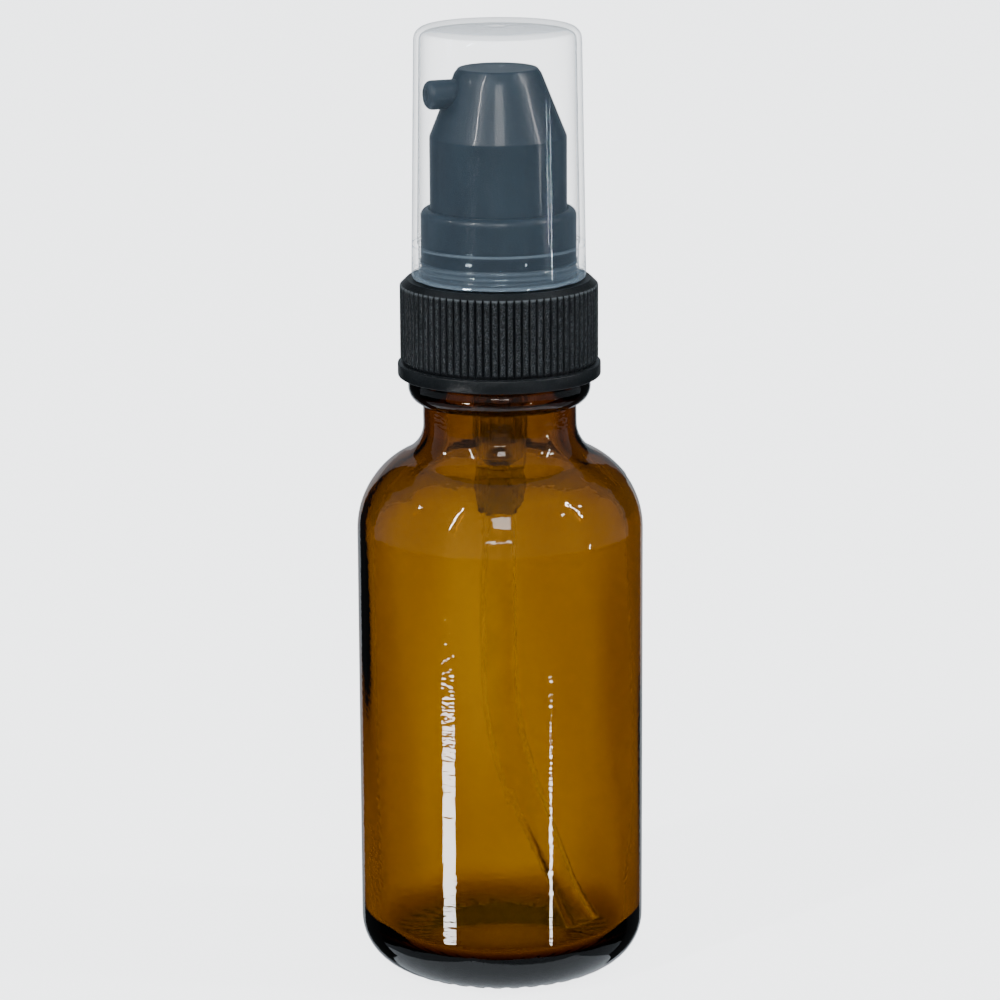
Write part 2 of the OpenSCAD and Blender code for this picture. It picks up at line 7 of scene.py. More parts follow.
import logging
import math
from collections.abc import Callable
from dataclasses import dataclass
from enum import Enum
from itertools import pairwise

import bpy
from mathutils import Matrix, Vector


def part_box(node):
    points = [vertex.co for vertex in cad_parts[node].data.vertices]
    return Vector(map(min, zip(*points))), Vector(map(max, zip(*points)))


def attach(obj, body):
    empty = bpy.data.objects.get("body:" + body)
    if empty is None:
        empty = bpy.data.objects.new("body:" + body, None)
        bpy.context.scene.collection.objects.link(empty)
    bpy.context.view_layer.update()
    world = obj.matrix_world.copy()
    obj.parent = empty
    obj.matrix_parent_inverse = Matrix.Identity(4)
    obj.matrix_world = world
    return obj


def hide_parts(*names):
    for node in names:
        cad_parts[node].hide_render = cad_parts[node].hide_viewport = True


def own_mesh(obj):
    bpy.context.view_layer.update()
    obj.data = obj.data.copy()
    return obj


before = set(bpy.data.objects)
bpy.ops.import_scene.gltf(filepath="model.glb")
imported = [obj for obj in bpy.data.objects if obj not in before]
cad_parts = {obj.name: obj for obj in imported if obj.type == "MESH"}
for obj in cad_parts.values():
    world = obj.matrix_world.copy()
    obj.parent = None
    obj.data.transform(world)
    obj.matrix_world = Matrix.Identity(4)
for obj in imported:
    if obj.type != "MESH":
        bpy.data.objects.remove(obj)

MM = 0.001  # metres in a millimetre
MERGE = 0.002  # millimetres between points that count as one
NEAR = 0.01  # millimetres within which a point is taken to lie on a wall
CORNER_SHARE = 0.45  # share of a side that the rounding of one corner may take
THREAD_PITCH = 3.175  # millimetres that the closure climbs in a turn
Point = tuple[float, float]
Triple = tuple[float, float, float]  # a size, a place or a colour

log = logging.getLogger("soap_pump")


# ---- outlines


def arc(x: float, z: float, radius: float, start: float, stop: float, steps: int = 8) -> list[Point]:
    """Points of an arc round a centre, between two angles in degrees, anticlockwise from the outward one."""
    angles = (math.radians(start + (stop - start) * i / steps) for i in range(steps + 1))
    return [(x + radius * math.cos(a), z + radius * math.sin(a)) for a in angles]


def bulge(x: float, z: float, proud: float, half_h: float, steps: int = 16) -> list[Point]:
    """Points, from the bottom up, of half an ellipse that stands out from a wall at radius x."""
    return [(x + proud * out, z + half_h * up) for out, up in arc(0, 0, 1, -90, 90, steps)]


def run(first: Point, last: Point, steps: int) -> list[Point]:
    """Evenly spaced points along a straight wall, both ends included."""
    return [
        (first[0] + (last[0] - first[0]) * i / steps, first[1] + (last[1] - first[1]) * i / steps)
        for i in range(steps + 1)
    ]


def softened(outline: list[Point], radius: float, steps: int = 3) -> list[Point]:
    """Rounds every corner of a closed outline that is off the axis.

    Args:
        outline: The corners in order.
        radius: Radius of the rounding, made smaller where a side is short.
        steps: Straight lengths in each rounding.

    Returns:
        The outline with its corners rounded.
    """
    rounded: list[Point] = []
    for i, corner in enumerate(outline):
        before, after = Vector(outline[i - 1]), Vector(outline[(i + 1) % len(outline)])
        here = Vector(corner)
        inward, onward = before - here, after - here
        if here.x < MERGE or min(inward.length, onward.length) < MERGE:
            rounded.append(corner)
            continue
        reach = min(radius, inward.length * CORNER_SHARE, onward.length * CORNER_SHARE)
        start, stop = here + inward.normalized() * reach, here + onward.normalized() * reach
        for k in range(steps + 1):
            t = k / steps
            p = start * (1 - t) ** 2 + here * 2 * t * (1 - t) + stop * t * t
            rounded.append((p.x, p.y))
    return rounded


# ---- modelling


def pick_nothing() -> None:
    """Leaves edit mode and deselects every object."""
    if bpy.context.object is not None and bpy.context.object.mode != "OBJECT":
        bpy.ops.object.mode_set(mode="OBJECT")
    bpy.ops.object.select_all(action="DESELECT")


def pick(piece: bpy.types.Object) -> None:
    """Leaves edit mode and selects one piece, which becomes the active one.

    Args:
        piece: The piece.
    """
    pick_nothing()
    piece.select_set(True)
    bpy.context.view_layer.objects.active = piece


def edit_all(piece: bpy.types.Object) -> None:
    """Opens a piece in edit mode with everything in it selected.

    Args:
        piece: The piece.
    """
    pick(piece)
    bpy.ops.object.mode_set(mode="EDIT")
    bpy.ops.mesh.select_all(action="SELECT")


def name_new(name: str) -> bpy.types.Object:
    """Names the object that was just added, and its mesh.

    Args:
        name: The name.

    Returns:
        The object.
    """
    piece = bpy.context.object
    piece.name = piece.data.name = name
    return piece


def close_skin() -> None:
    """Merges doubled points of the piece in edit mode, turns its faces outwards and leaves edit mode."""
    bpy.ops.mesh.select_all(action="SELECT")
    bpy.ops.mesh.remove_doubles(threshold=MERGE)
    bpy.ops.mesh.normals_make_consistent(inside=False)
    bpy.ops.object.mode_set(mode="OBJECT")


def modify(piece: bpy.types.Object, kind: str, settings: dict) -> None:
    """Gives the active piece a modifier and applies it.

    Args:
        piece: The piece.
        kind: The modifier's type.
        settings: Its properties.
    """
    bpy.ops.object.modifier_add(type=kind)
    modifier = piece.modifiers[-1]
    for key, value in settings.items():
        setattr(modifier, key, value)
    bpy.ops.object.modifier_apply(modifier=modifier.name)


def block(size: Triple, place: Triple) -> bpy.types.Object:
    """Makes a block.

    Args:
        size: Its length along X, Y and Z, in millimetres.
        place: Its middle.

    Returns:
        The block.
    """
    pick_nothing()
    bpy.ops.mesh.primitive_cube_add(size=1, location=(0, 0, 0))
    piece = bpy.context.object
    piece.data.transform(Matrix.Translation(place) @ Matrix.Diagonal((*size, 1)))
    return piece


def lathe(name: str, outline: list[Point], steps: int = 128, closed: bool = True) -> bpy.types.Object:
    """Turns an outline about Z: a point is extruded along it, then spun through a full turn.

    Args:
        name: Name of the piece.
        outline: Radius and height of each point, in millimetres.
        steps: Number of lengths in the full turn.
        closed: Whether the outline's last point joins its first.

    Returns:
        The piece, still in millimetres.
    """
    pick_nothing()
    bpy.ops.mesh.primitive_plane_add(size=1, location=(0, 0, 0))
    piece = name_new(name)
    edit_all(piece)
    bpy.ops.mesh.merge(type="CENTER")
    bpy.ops.transform.translate(value=(outline[0][0], 0, outline[0][1]))
    loop = outline + [outline[0]] if closed else outline
    for (x0, z0), (x1, z1) in pairwise(loop):
        bpy.ops.mesh.extrude_region_move(TRANSFORM_OT_translate={"value": (x1 - x0, 0, z1 - z0)})
    bpy.ops.mesh.select_all(action="SELECT")
    bpy.ops.mesh.remove_doubles(threshold=MERGE)
    bpy.ops.mesh.select_all(action="SELECT")
    bpy.ops.mesh.spin(steps=steps, angle=math.tau, center=(0, 0, 0), axis=(0, 0, 1))
    close_skin()
    return piece


def reshape(piece: bpy.types.Object, move: Callable[[float, float, float], Point]) -> None:
    """Moves each point of a turned piece outwards and upwards.

    Args:
        piece: The piece to change.
        move: Takes a point's angle in radians, radius and height, and gives its new radius and height.
    """
    for vertex in piece.data.vertices:
        x, y, z = vertex.co
        radius = math.hypot(x, y)
        if radius < MERGE:
            continue
        new_r, new_z = move(math.atan2(y, x), radius, z)
        vertex.co = (x * new_r / radius, y * new_r / radius, new_z)
    piece.data.update()


def carve(piece: bpy.types.Object, tool: bpy.types.Object, operation: str) -> None:
    """Joins a tool shape to a piece, or cuts it away, and removes the tool.

    Args:
        piece: The piece that is kept.
        tool: The shape that is joined or cut.
        operation: UNION or DIFFERENCE.
    """
    pick(piece)
    modify(piece, "BOOLEAN", {"operation": operation, "solver": "EXACT", "object": tool})
    bpy.data.objects.remove(tool, do_unlink=True)


def turn_to_nozzle(piece: bpy.types.Object, height: float) -> None:
    """Lays a piece that was turned about Z along -X, with its axis at a height in millimetres."""
    piece.data.transform(Matrix.Translation((0, 0, height)) @ Matrix.Rotation(-math.pi / 2, 4, "Y"))


# ---- shader maths


class Value:
    """A shader number that adds a Math node each time it is used in an expression."""

    def __init__(self, tree: bpy.types.NodeTree, socket: bpy.types.NodeSocket) -> None:
        """Wraps a socket of a node tree."""
        self.tree = tree
        self.socket = socket

    def _math(self, operation: str, first: "Value | float", second: "Value | float" = 0.0) -> "Value":
        """Adds one Math node.

        Args:
            operation: The node's operation.
            first: Its first value.
            second: Its second value.

        Returns:
            The result.
        """
        node = self.tree.nodes.new("ShaderNodeMath")
        node.operation = operation
        for socket, value in zip(node.inputs, (first, second)):
            if isinstance(value, Value):
                self.tree.links.new(value.socket, socket)
            else:
                socket.default_value = value
        return Value(self.tree, node.outputs[0])

    def __add__(self, other: "Value | float") -> "Value":
        """Adds."""
        return self._math("ADD", self, other)

    def __sub__(self, other: "Value | float") -> "Value":
        """Subtracts."""
        return self._math("SUBTRACT", self, other)

    def __rsub__(self, other: float) -> "Value":
        """Subtracts from a number."""
        return self._math("SUBTRACT", other, self)

    def __mul__(self, other: "Value | float") -> "Value":
        """Multiplies."""
        return self._math("MULTIPLY", self, other)

    def __truediv__(self, other: "Value | float") -> "Value":
        """Divides."""
        return self._math("DIVIDE", self, other)

    def __pow__(self, other: float) -> "Value":
        """Raises to a power."""
        return self._math("POWER", self, other)

    __radd__ = __add__
    __rmul__ = __mul__

    def above(self, edge: float, width: float) -> "Value":
        """Ramps from 0 to 1 as the value climbs past an edge.

        Args:
            edge: Where the ramp starts.
            width: How far it takes to reach 1.

        Returns:
            The ramp, held between 0 and 1.
        """
        ramp = (self - edge) / width
        ramp.socket.node.use_clamp = True
        return ramp

    def within(self, low: float, high: float, soft: float) -> "Value":
        """A mask: 1 between two edges, fading to 0 over a soft width past each of them."""
        return self.above(low - soft, soft) * (1 - self.above(high, soft))


class Shader:
    """A new node material with its Principled shader."""

    def __init__(self, name: str) -> None:
        """Makes the material and clears its tree.

        Args:
            name: The material's name.
        """
        self.material = bpy.data.materials.new(name)
        self.material.use_nodes = True
        self.tree = self.material.node_tree
        self.tree.nodes.clear()
        self.output = self.tree.nodes.new("ShaderNodeOutputMaterial")
        self.place = self.node("ShaderNodeTexCoord").outputs["Object"]

    def node(self, kind: str, settings: dict | None = None, inputs: dict | None = None) -> bpy.types.Node:
        """Adds a node.

        Args:
            kind: The node's type.
            settings: Properties that are set first.
            inputs: Values or links of its sockets, by name or number.

        Returns:
            The node.
        """
        node = self.tree.nodes.new(kind)
        for key, value in (settings or {}).items():
            setattr(node, key, value)
        for key, value in (inputs or {}).items():
            self.feed(node.inputs[key], value)
        return node

    def feed(self, socket: bpy.types.NodeSocket, value: object) -> None:
        """Sets or links one socket.

        Args:
            socket: The socket that takes the value.
            value: A number, a colour, a socket or a Value.
        """
        if isinstance(value, Value):
            value = value.socket
        if isinstance(value, bpy.types.NodeSocket):
            self.tree.links.new(value, socket)
        else:
            socket.default_value = value

    def noise(self, pitch: float, detail: float = 2.0, squash: float = 1.0, sharp: float = 0.5) -> Value:
        """Noise of a given grain, even in X and Y.

        Args:
            pitch: Size of its features, in millimetres.
            detail: How many finer layers it has.
            squash: How many times finer it is along Z.
            sharp: Roughness of the finer layers.

        Returns:
            The noise, from 0 to 1.
        """
        scale = 1 / (pitch * MM)
        mapped = self.node("ShaderNodeMapping", {}, {"Vector": self.place, "Scale": (scale, scale, scale * squash)})
        made = self.node(
            "ShaderNodeTexNoise",
            {"noise_dimensions": "3D"},
            {"Vector": mapped.outputs[0], "Scale": 1.0, "Detail": detail, "Roughness": sharp},
        )
        return Value(self.tree, made.outputs["Fac"])

    def height(self) -> Value:
        """Height above the standing plane, in millimetres."""
        split = self.node("ShaderNodeSeparateXYZ", {}, {0: self.place})
        return Value(self.tree, split.outputs["Z"]) * (1 / MM)

    def axis_distance(self) -> Value:
        """Distance from the Z axis, in millimetres."""
        split = self.node("ShaderNodeSeparateXYZ", {}, {0: self.place})
        x, y = Value(self.tree, split.outputs["X"]), Value(self.tree, split.outputs["Y"])
        return (x * x + y * y) ** 0.5 * (1 / MM)

    def blend(self, factor: Value, first: object, second: object) -> bpy.types.NodeSocket:
        """Mixes two colours.

        Args:
            factor: How much of the second colour shows.
            first: Colour at 0, as red, green and blue or as a socket.
            second: Colour at 1.

        Returns:
            The mixed colour.
        """
        pair = [(*colour, 1) if isinstance(colour, tuple) else colour for colour in (first, second)]
        mix = self.node("ShaderNodeMix", {"data_type": "RGBA"}, {"Factor": factor, 6: pair[0], 7: pair[1]})
        return mix.outputs[2]

    def bump(self, height: Value, depth: float) -> bpy.types.NodeSocket:
        """Turns a relief from 0 to 1, and its depth in millimetres, into a normal."""
        return self.node("ShaderNodeBump", {}, {"Height": height, "Distance": depth * MM}).outputs[0]

    def show(self, kind: str, inputs: dict, side: str = "Surface") -> bpy.types.Material:
        """Adds a shader, links it to the output's Surface or Volume socket, and gives the material."""
        self.tree.links.new(self.node(kind, {}, inputs).outputs[0], self.output.inputs[side])
        return self.material

    def surface(self, inputs: dict) -> bpy.types.Material:
        """Adds the Principled shader with its inputs and gives the finished material."""
        return self.show("ShaderNodeBsdfPrincipled", inputs)


# ---- finishes


@dataclass(frozen=True)
class AmberGlass:
    """Amber soda glass: clear of bubbles, with the faint ripple of a blow mould."""

    ior: float = 1.52
    tint: Triple = (0.74, 0.64, 0.0)
    density: float = 2250.0  # per metre
    ripple_mm: float = 0.03
    haze: float = 0.03
    smooth_to: float = 6.0  # height in millimetres under which the fine ripple is missing, and width of its fade

    def make(self) -> bpy.types.Material:
        """Makes the material."""
        shader = Shader("amber_glass")
        smear = shader.noise(9, 3, 0.5)
        fine = shader.noise(2.4, 1, 2.6) * 0.32 + shader.noise(0.7, 0, 2.2) * 0.24
        wave = shader.noise(7, 1, 0.35) * 0.6 + fine * shader.height().above(self.smooth_to, self.smooth_to)
        shader.show("ShaderNodeVolumeAbsorption", {"Color": (*self.tint, 1), "Density": self.density}, "Volume")
        return shader.surface({
            "Base Color": (1, 1, 1, 1),
            "Roughness": smear.above(0.5, 0.5) * self.haze,
            "IOR": self.ior,
            "Transmission Weight": 1.0,
            "Normal": shader.bump(wave, self.ripple_mm),
        })


@dataclass(frozen=True)
class Band:
    """A height at which the overcap's film is denser: a milky haze, or a painted highlight line."""

    low: float  # millimetres
    high: float
    soft: float
    haze_and_highlight: float  # how much denser it makes the film


@dataclass(frozen=True)
class ClearPlastic:
    """Thin clear plastic as a film: it grows denser at grazing angles, is milky on its skirt, and has painted
    highlight lines at its rim, step and snap rings.
    """

    ior: float = 1.49
    colour: Triple = (0.66, 0.83, 0.98)
    speckled: Triple = (0.72, 0.80, 0.86)
    face_on: float = 0.045  # how dense the film is when it is looked at squarely
    edge_on: float = 0.8  # what a grazing angle adds
    skirt: Band = Band(80.9, 82.6, 0.1, 0.06)
    # the rim, the step and the snap rings get painted highlight lines, drawn as bands of denser film
    rim: Band = Band(80.0, 80.9, 0.1, 0.45)
    step: Band = Band(84.32, 84.46, 0.06, 0.3)
    rings: tuple[float, ...] = (81.3, 81.9, 82.5)
    ring_half_h: float = 0.05

    def make(self) -> bpy.types.Material:
        """Makes the material."""
        shader = Shader("overcap_clear")
        scuff = shader.noise(1.3, 4, 0.4, 0.6).above(0.56, 0.3)
        facing = shader.node("ShaderNodeLayerWeight", {}, {"Blend": 0.5}).outputs["Facing"]
        film = Value(shader.tree, facing) ** 4 * self.edge_on + self.face_on
        rings = [Band(z - self.ring_half_h, z + self.ring_half_h, 0.08, 0.14) for z in self.rings]
        up = shader.height()
        # bands of denser film: milky haze on the skirt, painted highlight lines on the rim, step and rings
        hazes_and_highlights = [up.within(band.low, band.high, band.soft) * band.haze_and_highlight
                 for band in (self.skirt, self.rim, self.step, *rings)]
        return shader.surface({
            "Base Color": shader.blend(scuff, self.colour, self.speckled),
            "IOR": self.ior,
            "Metallic": 0.5,
            "Roughness": scuff * 0.12 + 0.04,
            "Alpha": film + scuff * 0.02 + sum(hazes_and_highlights[1:], hazes_and_highlights[0]),
            "Normal": shader.bump(shader.noise(6, 2, 0.3), 0.02),
        })


@dataclass(frozen=True)
class CrestHighlight:
    """Where a moulded piece gets a painted highlight on its rib crests and tips: all in millimetres."""

    speckled: Point  # radii between which the rib crests get a speckled painted highlight
    lit_tips: Point  # radii between which the rib tips are painted pale as a highlight
    lit_tips_from: float  # height past which they are
    # colour of the painted highlight
    colour: Triple = (0.13, 0.145, 0.155)


@dataclass(frozen=True)
class Moulded:
    """Opaque moulded plastic with a fine texture, a little mottling and, where it is given one, a painted highlight
    on its rib crests and tips.
    """

    name: str
    dark: Triple
    light: Triple
    grain_mm: float
    grain_depth_mm: float
    coat: float = 0.0
    roughness: float = 0.27  # of the smoothest places
    speckle: float = 0.5
    crest_highlight: CrestHighlight | None = None

    def lit_tips(self, shader: Shader, plain: bpy.types.NodeSocket, crest_highlight: CrestHighlight) -> bpy.types.NodeSocket:
        """Adds the painted highlights on the rib crests and tips.

        Args:
            shader: The material that takes them.
            plain: The colour without the painted highlights.
            crest_highlight: Where they are.

        Returns:
            The colour with the painted highlights.
        """
        # painted highlight: speckled on the rib crests, solid on the rib tips near the top
        crest_glints = shader.noise(0.16, 3, 0.8, 0.7).above(0.46, 0.2) * 0.7
        out, tip_sheen = shader.axis_distance(), shader.height().above(crest_highlight.lit_tips_from, 0.25)
        proud = out.within(*crest_highlight.speckled, 0.05) * crest_glints + tip_sheen * out.within(*crest_highlight.lit_tips, 0.05)
        proud.socket.node.use_clamp = True
        return shader.blend(proud, plain, crest_highlight.colour)

    def make(self) -> bpy.types.Material:
        """Makes the material."""
        shader = Shader(self.name)
        mottle = shader.noise(3.5, 3, 0.6)
        grain = shader.noise(self.grain_mm, 2, 1, 0.6)
        speck = shader.noise(self.grain_mm * 0.8, 1).above(0.60, 0.12)
        colour = shader.blend(mottle.above(0.25, 0.5) * 0.7 + speck * self.speckle, self.dark, self.light)
        return shader.surface({
            "Base Color": self.lit_tips(shader, colour, self.crest_highlight) if self.crest_highlight else colour,
            "Roughness": mottle * 0.10 + grain * 0.08 + self.roughness,
            "IOR": 1.5,
            "Coat Weight": self.coat,
            "Coat Roughness": 0.06,
            "Normal": shader.bump(grain, self.grain_depth_mm),
        })


@dataclass(frozen=True)
class NaturalPlastic:
    """Undyed plastic that lets light through."""

    name: str
    colour: Triple
    clear: float
    roughness: float  # of the smoothest places
    dulling: float = 0.88  # brightness of the cloudy places

    def make(self) -> bpy.types.Material:
        """Makes the material."""
        shader = Shader(self.name)
        cloud = shader.noise(2.4, 3, 0.5)
        dull = tuple(c * self.dulling for c in self.colour)
        return shader.surface({
            "Base Color": shader.blend(cloud.above(0.35, 0.4), self.colour, dull),
            "Roughness": cloud * 0.12 + self.roughness,
            "IOR": 1.42,
            "Transmission Weight": self.clear,
            "Normal": shader.bump(shader.noise(0.8, 2, 0.3), 0.012),
        })


@dataclass(frozen=True)
class FoamLiner:
    """White closed-cell foam."""

    cell_mm: float = 0.28

    def make(self) -> bpy.types.Material:
        """Makes the material."""
        shader = Shader("foam_liner")
        cells = shader.noise(self.cell_mm, 2, 1, 0.6)
        return shader.surface({
            "Base Color": shader.blend(cells, (0.82, 0.82, 0.79), (0.92, 0.92, 0.90)),
            "Roughness": cells * 0.2 + 0.6,
            "Normal": shader.bump(cells, 0.05),
        })


@dataclass(frozen=True)
class SpringSteel:
    """Bright drawn stainless wire."""

    roughness: float = 0.16  # of the smoothest places

    def make(self) -> bpy.types.Material:
        """Makes the material."""
        shader = Shader("spring_steel")
        draw = shader.noise(0.25, 3, 0.2)
        return shader.surface({
            "Base Color": shader.blend(draw, (0.50, 0.50, 0.51), (0.68, 0.68, 0.69)),
            "Metallic": 1.0,
            "Roughness": draw * 0.16 + self.roughness,
            "Normal": shader.bump(draw, 0.006),
        })


class Finish(Enum):
    """The dispenser's finishes, each named as its material is."""

    AMBER_GLASS = AmberGlass()
    # the closure gets a painted highlight on its rib crests and tips
    CLOSURE_BLACK = Moulded("closure_black", (0.004, 0.006, 0.007), (0.014, 0.017, 0.020), 0.30, 0.045,
                            crest_highlight=CrestHighlight((11.14, 11.25), (11.06, 11.25), 79.55))
    PUMP_SLATE = Moulded("pump_slate", (0.007, 0.020, 0.036), (0.018, 0.040, 0.064), 0.22, 0.022, coat=0.25)
    NATURAL_PLASTIC = NaturalPlastic("natural_plastic", (0.98, 0.98, 0.96), 0.93, 0.10)
    TUBE_PLASTIC = NaturalPlastic("tube_plastic", (1.0, 0.995, 0.98), 1.0, 0.0)
    FOAM_LINER = FoamLiner()
    SPRING_STEEL = SpringSteel()
    OVERCAP_CLEAR = ClearPlastic()


class Workshop:
    """Finishes pieces: scales them to metres, dresses them and hands them to the frame."""

    def __init__(self) -> None:
        """Makes each finish's material once."""
        self.materials = {finish: finish.value.make() for finish in Finish}

    def deliver(self, piece: bpy.types.Object, finish: Finish, body: str, node: str, crease: float = 30) -> None:
        """Finishes one piece.

        Args:
            piece: The piece, in millimetres.
            finish: Its finish.
            body: The CAD body that it moves with.
            node: The CAD node that it stands for.
            crease: Angle in degrees past which an edge stays sharp.
        """
        pick(piece)
        piece.scale = (MM, MM, MM)
        bpy.ops.object.transform_apply(location=True, rotation=True, scale=True)
        bpy.ops.object.shade_smooth_by_angle(angle=math.radians(crease))
        piece.data.materials.clear()
        piece.data.materials.append(self.materials[finish])
        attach(piece, body)
        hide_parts(node)
        log.info("%s: %d points, rides on %s, stands for %s", piece.name, len(piece.data.vertices), body, node)


@dataclass(frozen=True)
class Span:
    """What a CAD node takes up, in millimetres: its reach along +X, and its lowest and highest points."""

    radius: float
    low: float
    high: float

    @classmethod
    def of(cls, node: str) -> "Span":
        """Measures a CAD node by its box."""
        low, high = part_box(node)
        return cls(high.x / MM, low.z / MM, high.z / MM)


@dataclass(frozen=True)
class Thread:
    """A screw thread on a wall, which fades out at both ends."""

    proud: float  # how far it stands off the wall, in millimetres
    half_w: float  # half its width at the wall
    crest_half_w: float
    foot_z: float  # height of its middle where the turn begins
    start: float  # degrees
    stop: float
    rounded: bool = False
    fade: float = 30.0

    def rise(self, angle: float, z: float) -> float:
        """How far the thread stands off the wall at a point.

        Args:
            angle: The point's angle in radians.
            z: Its height.

        Returns:
            The rise in millimetres.
        """
        best = 0.0
        for turn in (0, 1):
            degrees = math.degrees(angle) % 360 + 360 * turn
            faded = min(1, (degrees - self.start) / self.fade, (self.stop - degrees) / self.fade)
            off = abs(z - self.foot_z - THREAD_PITCH * degrees / 360)
            slope = min(1, max(0, (self.half_w - off) / (self.half_w - self.crest_half_w)))
            best = max(best, faded * slope * (slope * (3 - 2 * slope) if self.rounded else 1))
        return best * self.proud


@dataclass
class SubAssembly:
    """Pieces that are built together and handed to the workshop."""

    shop: Workshop


# ---- bottle


@dataclass
class Bottle(SubAssembly):
    """The glass: heel, body, shoulder, neck, bead, thread and lip, in one closed skin."""

    wall: float = 1.9
    floor_h: float = 4.2
    heel_r: float = 5.5
    floor_corner_r: float = 2.6
    shoulder_r: float = 9.8
    neck_r: float = 8.7
    bore_r: float = 6.3
    neck_curve_r: float = 3.9
    push_up_h: float = 1.2
    stand_ring_w: float = 1.1
    notches: int = 40
    notch_depth: float = 0.22
    notch_reach: float = 0.9
    finish_h: float = 7.7
    bead_h: float = 3.8
    bead_proud: float = 1.65
    neck_h: float = 2.5
    lip_r: float = 0.6
    thread_proud: float = 1.1
    thread_turns: float = 1.1
    thread_gap: float = 1.4  # from the bead to the middle of the thread's start
    seam_deg: float = -107.0
    seam_proud: float = 0.035
    seam_foot: float = 0.5
    ripple_foot: float = 6.0  # height over which the inner waves grow from the floor
    ripple_top: float = 8.0  # height over which they fade under the finish
    steps: int = 240

    def __post_init__(self) -> None:
        """Takes the outer sizes from the CAD node."""
        span = Span.of("bottle")
        self.radius, self.lip_z = span.radius, span.high
        self.inner_r = self.radius - self.wall
        self.bead_top = self.lip_z - self.finish_h
        self.curve_z = self.bead_top - self.bead_h - self.neck_h
        self.stand_r = self.radius - self.heel_r
        self.thread = Thread(proud=self.thread_proud, half_w=0.85, crest_half_w=0.45, start=0,
                             foot_z=self.bead_top + self.thread_gap, stop=360 * self.thread_turns, rounded=True)
        self.seam_angles = (math.radians(self.seam_deg), math.radians(self.seam_deg + 180))

    def flank(self, radius: float, foot_r: float, foot_z: float, shoulder: float, curve: float,
              throat: float) -> list[Point]:
        """Outline of the heel, body, shoulder and neck curve, for the outside or the inside.

        Args:
            radius: Radius of the straight body.
            foot_r: Radius of the rounding at the foot.
            foot_z: Height where the rounding starts.
            shoulder: Radius of the shoulder.
            curve: Radius of the neck curve.
            throat: Radius of the neck.

        Returns:
            The points from the foot to the neck.
        """
        shoulder_x, curve_x = radius - shoulder, throat + curve
        rise = math.sqrt((shoulder + curve) ** 2 - (curve_x - shoulder_x) ** 2)
        lean = math.degrees(math.atan2(rise, curve_x - shoulder_x))
        shoulder_z = self.curve_z - rise
        return [
            *arc(radius - foot_r, foot_z + foot_r, foot_r, -90, 0, 14),
            *run((radius, foot_z + foot_r + 1), (radius, shoulder_z - 1), 26),
            *arc(shoulder_x, shoulder_z, shoulder, 0, lean, 22),
            *arc(curve_x, self.curve_z, curve, 180 + lean, 180, 12)[1:],
        ]

    def outline(self) -> list[Point]:
        """The whole outline, from the middle of the base round the lip to the middle of the floor."""
        ring_in = self.stand_r - self.stand_ring_w
        dome_r = (ring_in**2 + self.push_up_h**2) / (2 * self.push_up_h)
        edge = math.degrees(math.acos(ring_in / dome_r))
        base = [(0.0, self.push_up_h), *arc(0, self.push_up_h - dome_r, dome_r, 88.5, edge, 12)]
        ring = run((ring_in + 0.2, 0), (self.stand_r - 0.2, 0), 2)
        outside = self.flank(self.radius, self.heel_r, 0, self.shoulder_r, self.neck_curve_r, self.neck_r)
        bead = bulge(self.neck_r, self.bead_top - self.bead_h / 2, self.bead_proud, self.bead_h / 2, 20)
        neck = run((self.neck_r, self.bead_top + 0.25), (self.neck_r, self.lip_z - self.lip_r - 0.2), 28)
        lip = [
            *arc(self.neck_r - self.lip_r, self.lip_z - self.lip_r, self.lip_r, 0, 90, 6),
            *arc(self.bore_r + self.lip_r, self.lip_z - self.lip_r, self.lip_r, 90, 180, 6),
        ]
        inside = self.flank(self.inner_r, self.floor_corner_r, self.floor_h, self.shoulder_r - self.wall,
                            self.neck_curve_r + self.wall, self.bore_r)
        floor = [*run((self.inner_r - self.floor_corner_r - 1, self.floor_h), (0.6, self.floor_h), 9),
                 (0.0, self.floor_h)]
        return [*base, *ring, *outside, *bead, *neck, *lip, *reversed(inside), *floor]

    def ripple(self, angle: float, z: float) -> float:
        """Slow waves that the blow leaves on the inner wall, in millimetres."""
        # depth, how many go round the wall, height in which they shift by a radian, and their start in radians
        waves = ((0.07, 3, 21, 0.6), (0.05, 7, -13, 1.1), (0.03, 13, 9, 0), (0.04, 2, 6.5, 0))
        return sum(depth * math.sin(count * angle + z / climb + start) for depth, count, climb, start in waves)

    def move(self, angle: float, radius: float, z: float) -> Point:
        """Moves one point of the plain glass to its place in the moulded glass.

        Args:
            angle: The point's angle in radians.
            radius: Its distance from the axis in millimetres.
            z: Its height in millimetres.

        Returns:
            Its new distance and height.
        """
        if radius < self.inner_r + NEAR and self.floor_h + NEAR < z < self.bead_top:
            depth = min(1, (z - self.floor_h) / self.ripple_foot, (self.bead_top - z) / self.ripple_top)
            return radius + self.ripple(angle, z) * depth, z
        if self.bead_top < z < self.lip_z - self.lip_r and radius > self.bore_r + self.lip_r + NEAR:
            return radius + self.thread.rise(angle, z), z
        if z < self.notch_reach and radius > self.stand_r - self.stand_ring_w - NEAR:
            cut = max(0.0, math.cos(angle * self.notches)) ** 0.5
            return radius, z + self.notch_depth * cut * (1 - z / self.notch_reach)
        half_step = math.pi / self.steps
        on_seam = any(abs(math.remainder(angle - seam, math.tau)) < half_step for seam in self.seam_angles)
        if on_seam and z > self.seam_foot and radius > self.neck_r - NEAR:
            return radius + self.seam_proud, z
        return radius, z

    def build(self) -> None:
        """Makes the bottle."""
        piece = lathe("bottle_glass", self.outline(), self.steps)
        reshape(piece, self.move)
        self.shop.deliver(piece, Finish.AMBER_GLASS, "bottle", "bottle", crease=50)


# ---- closure


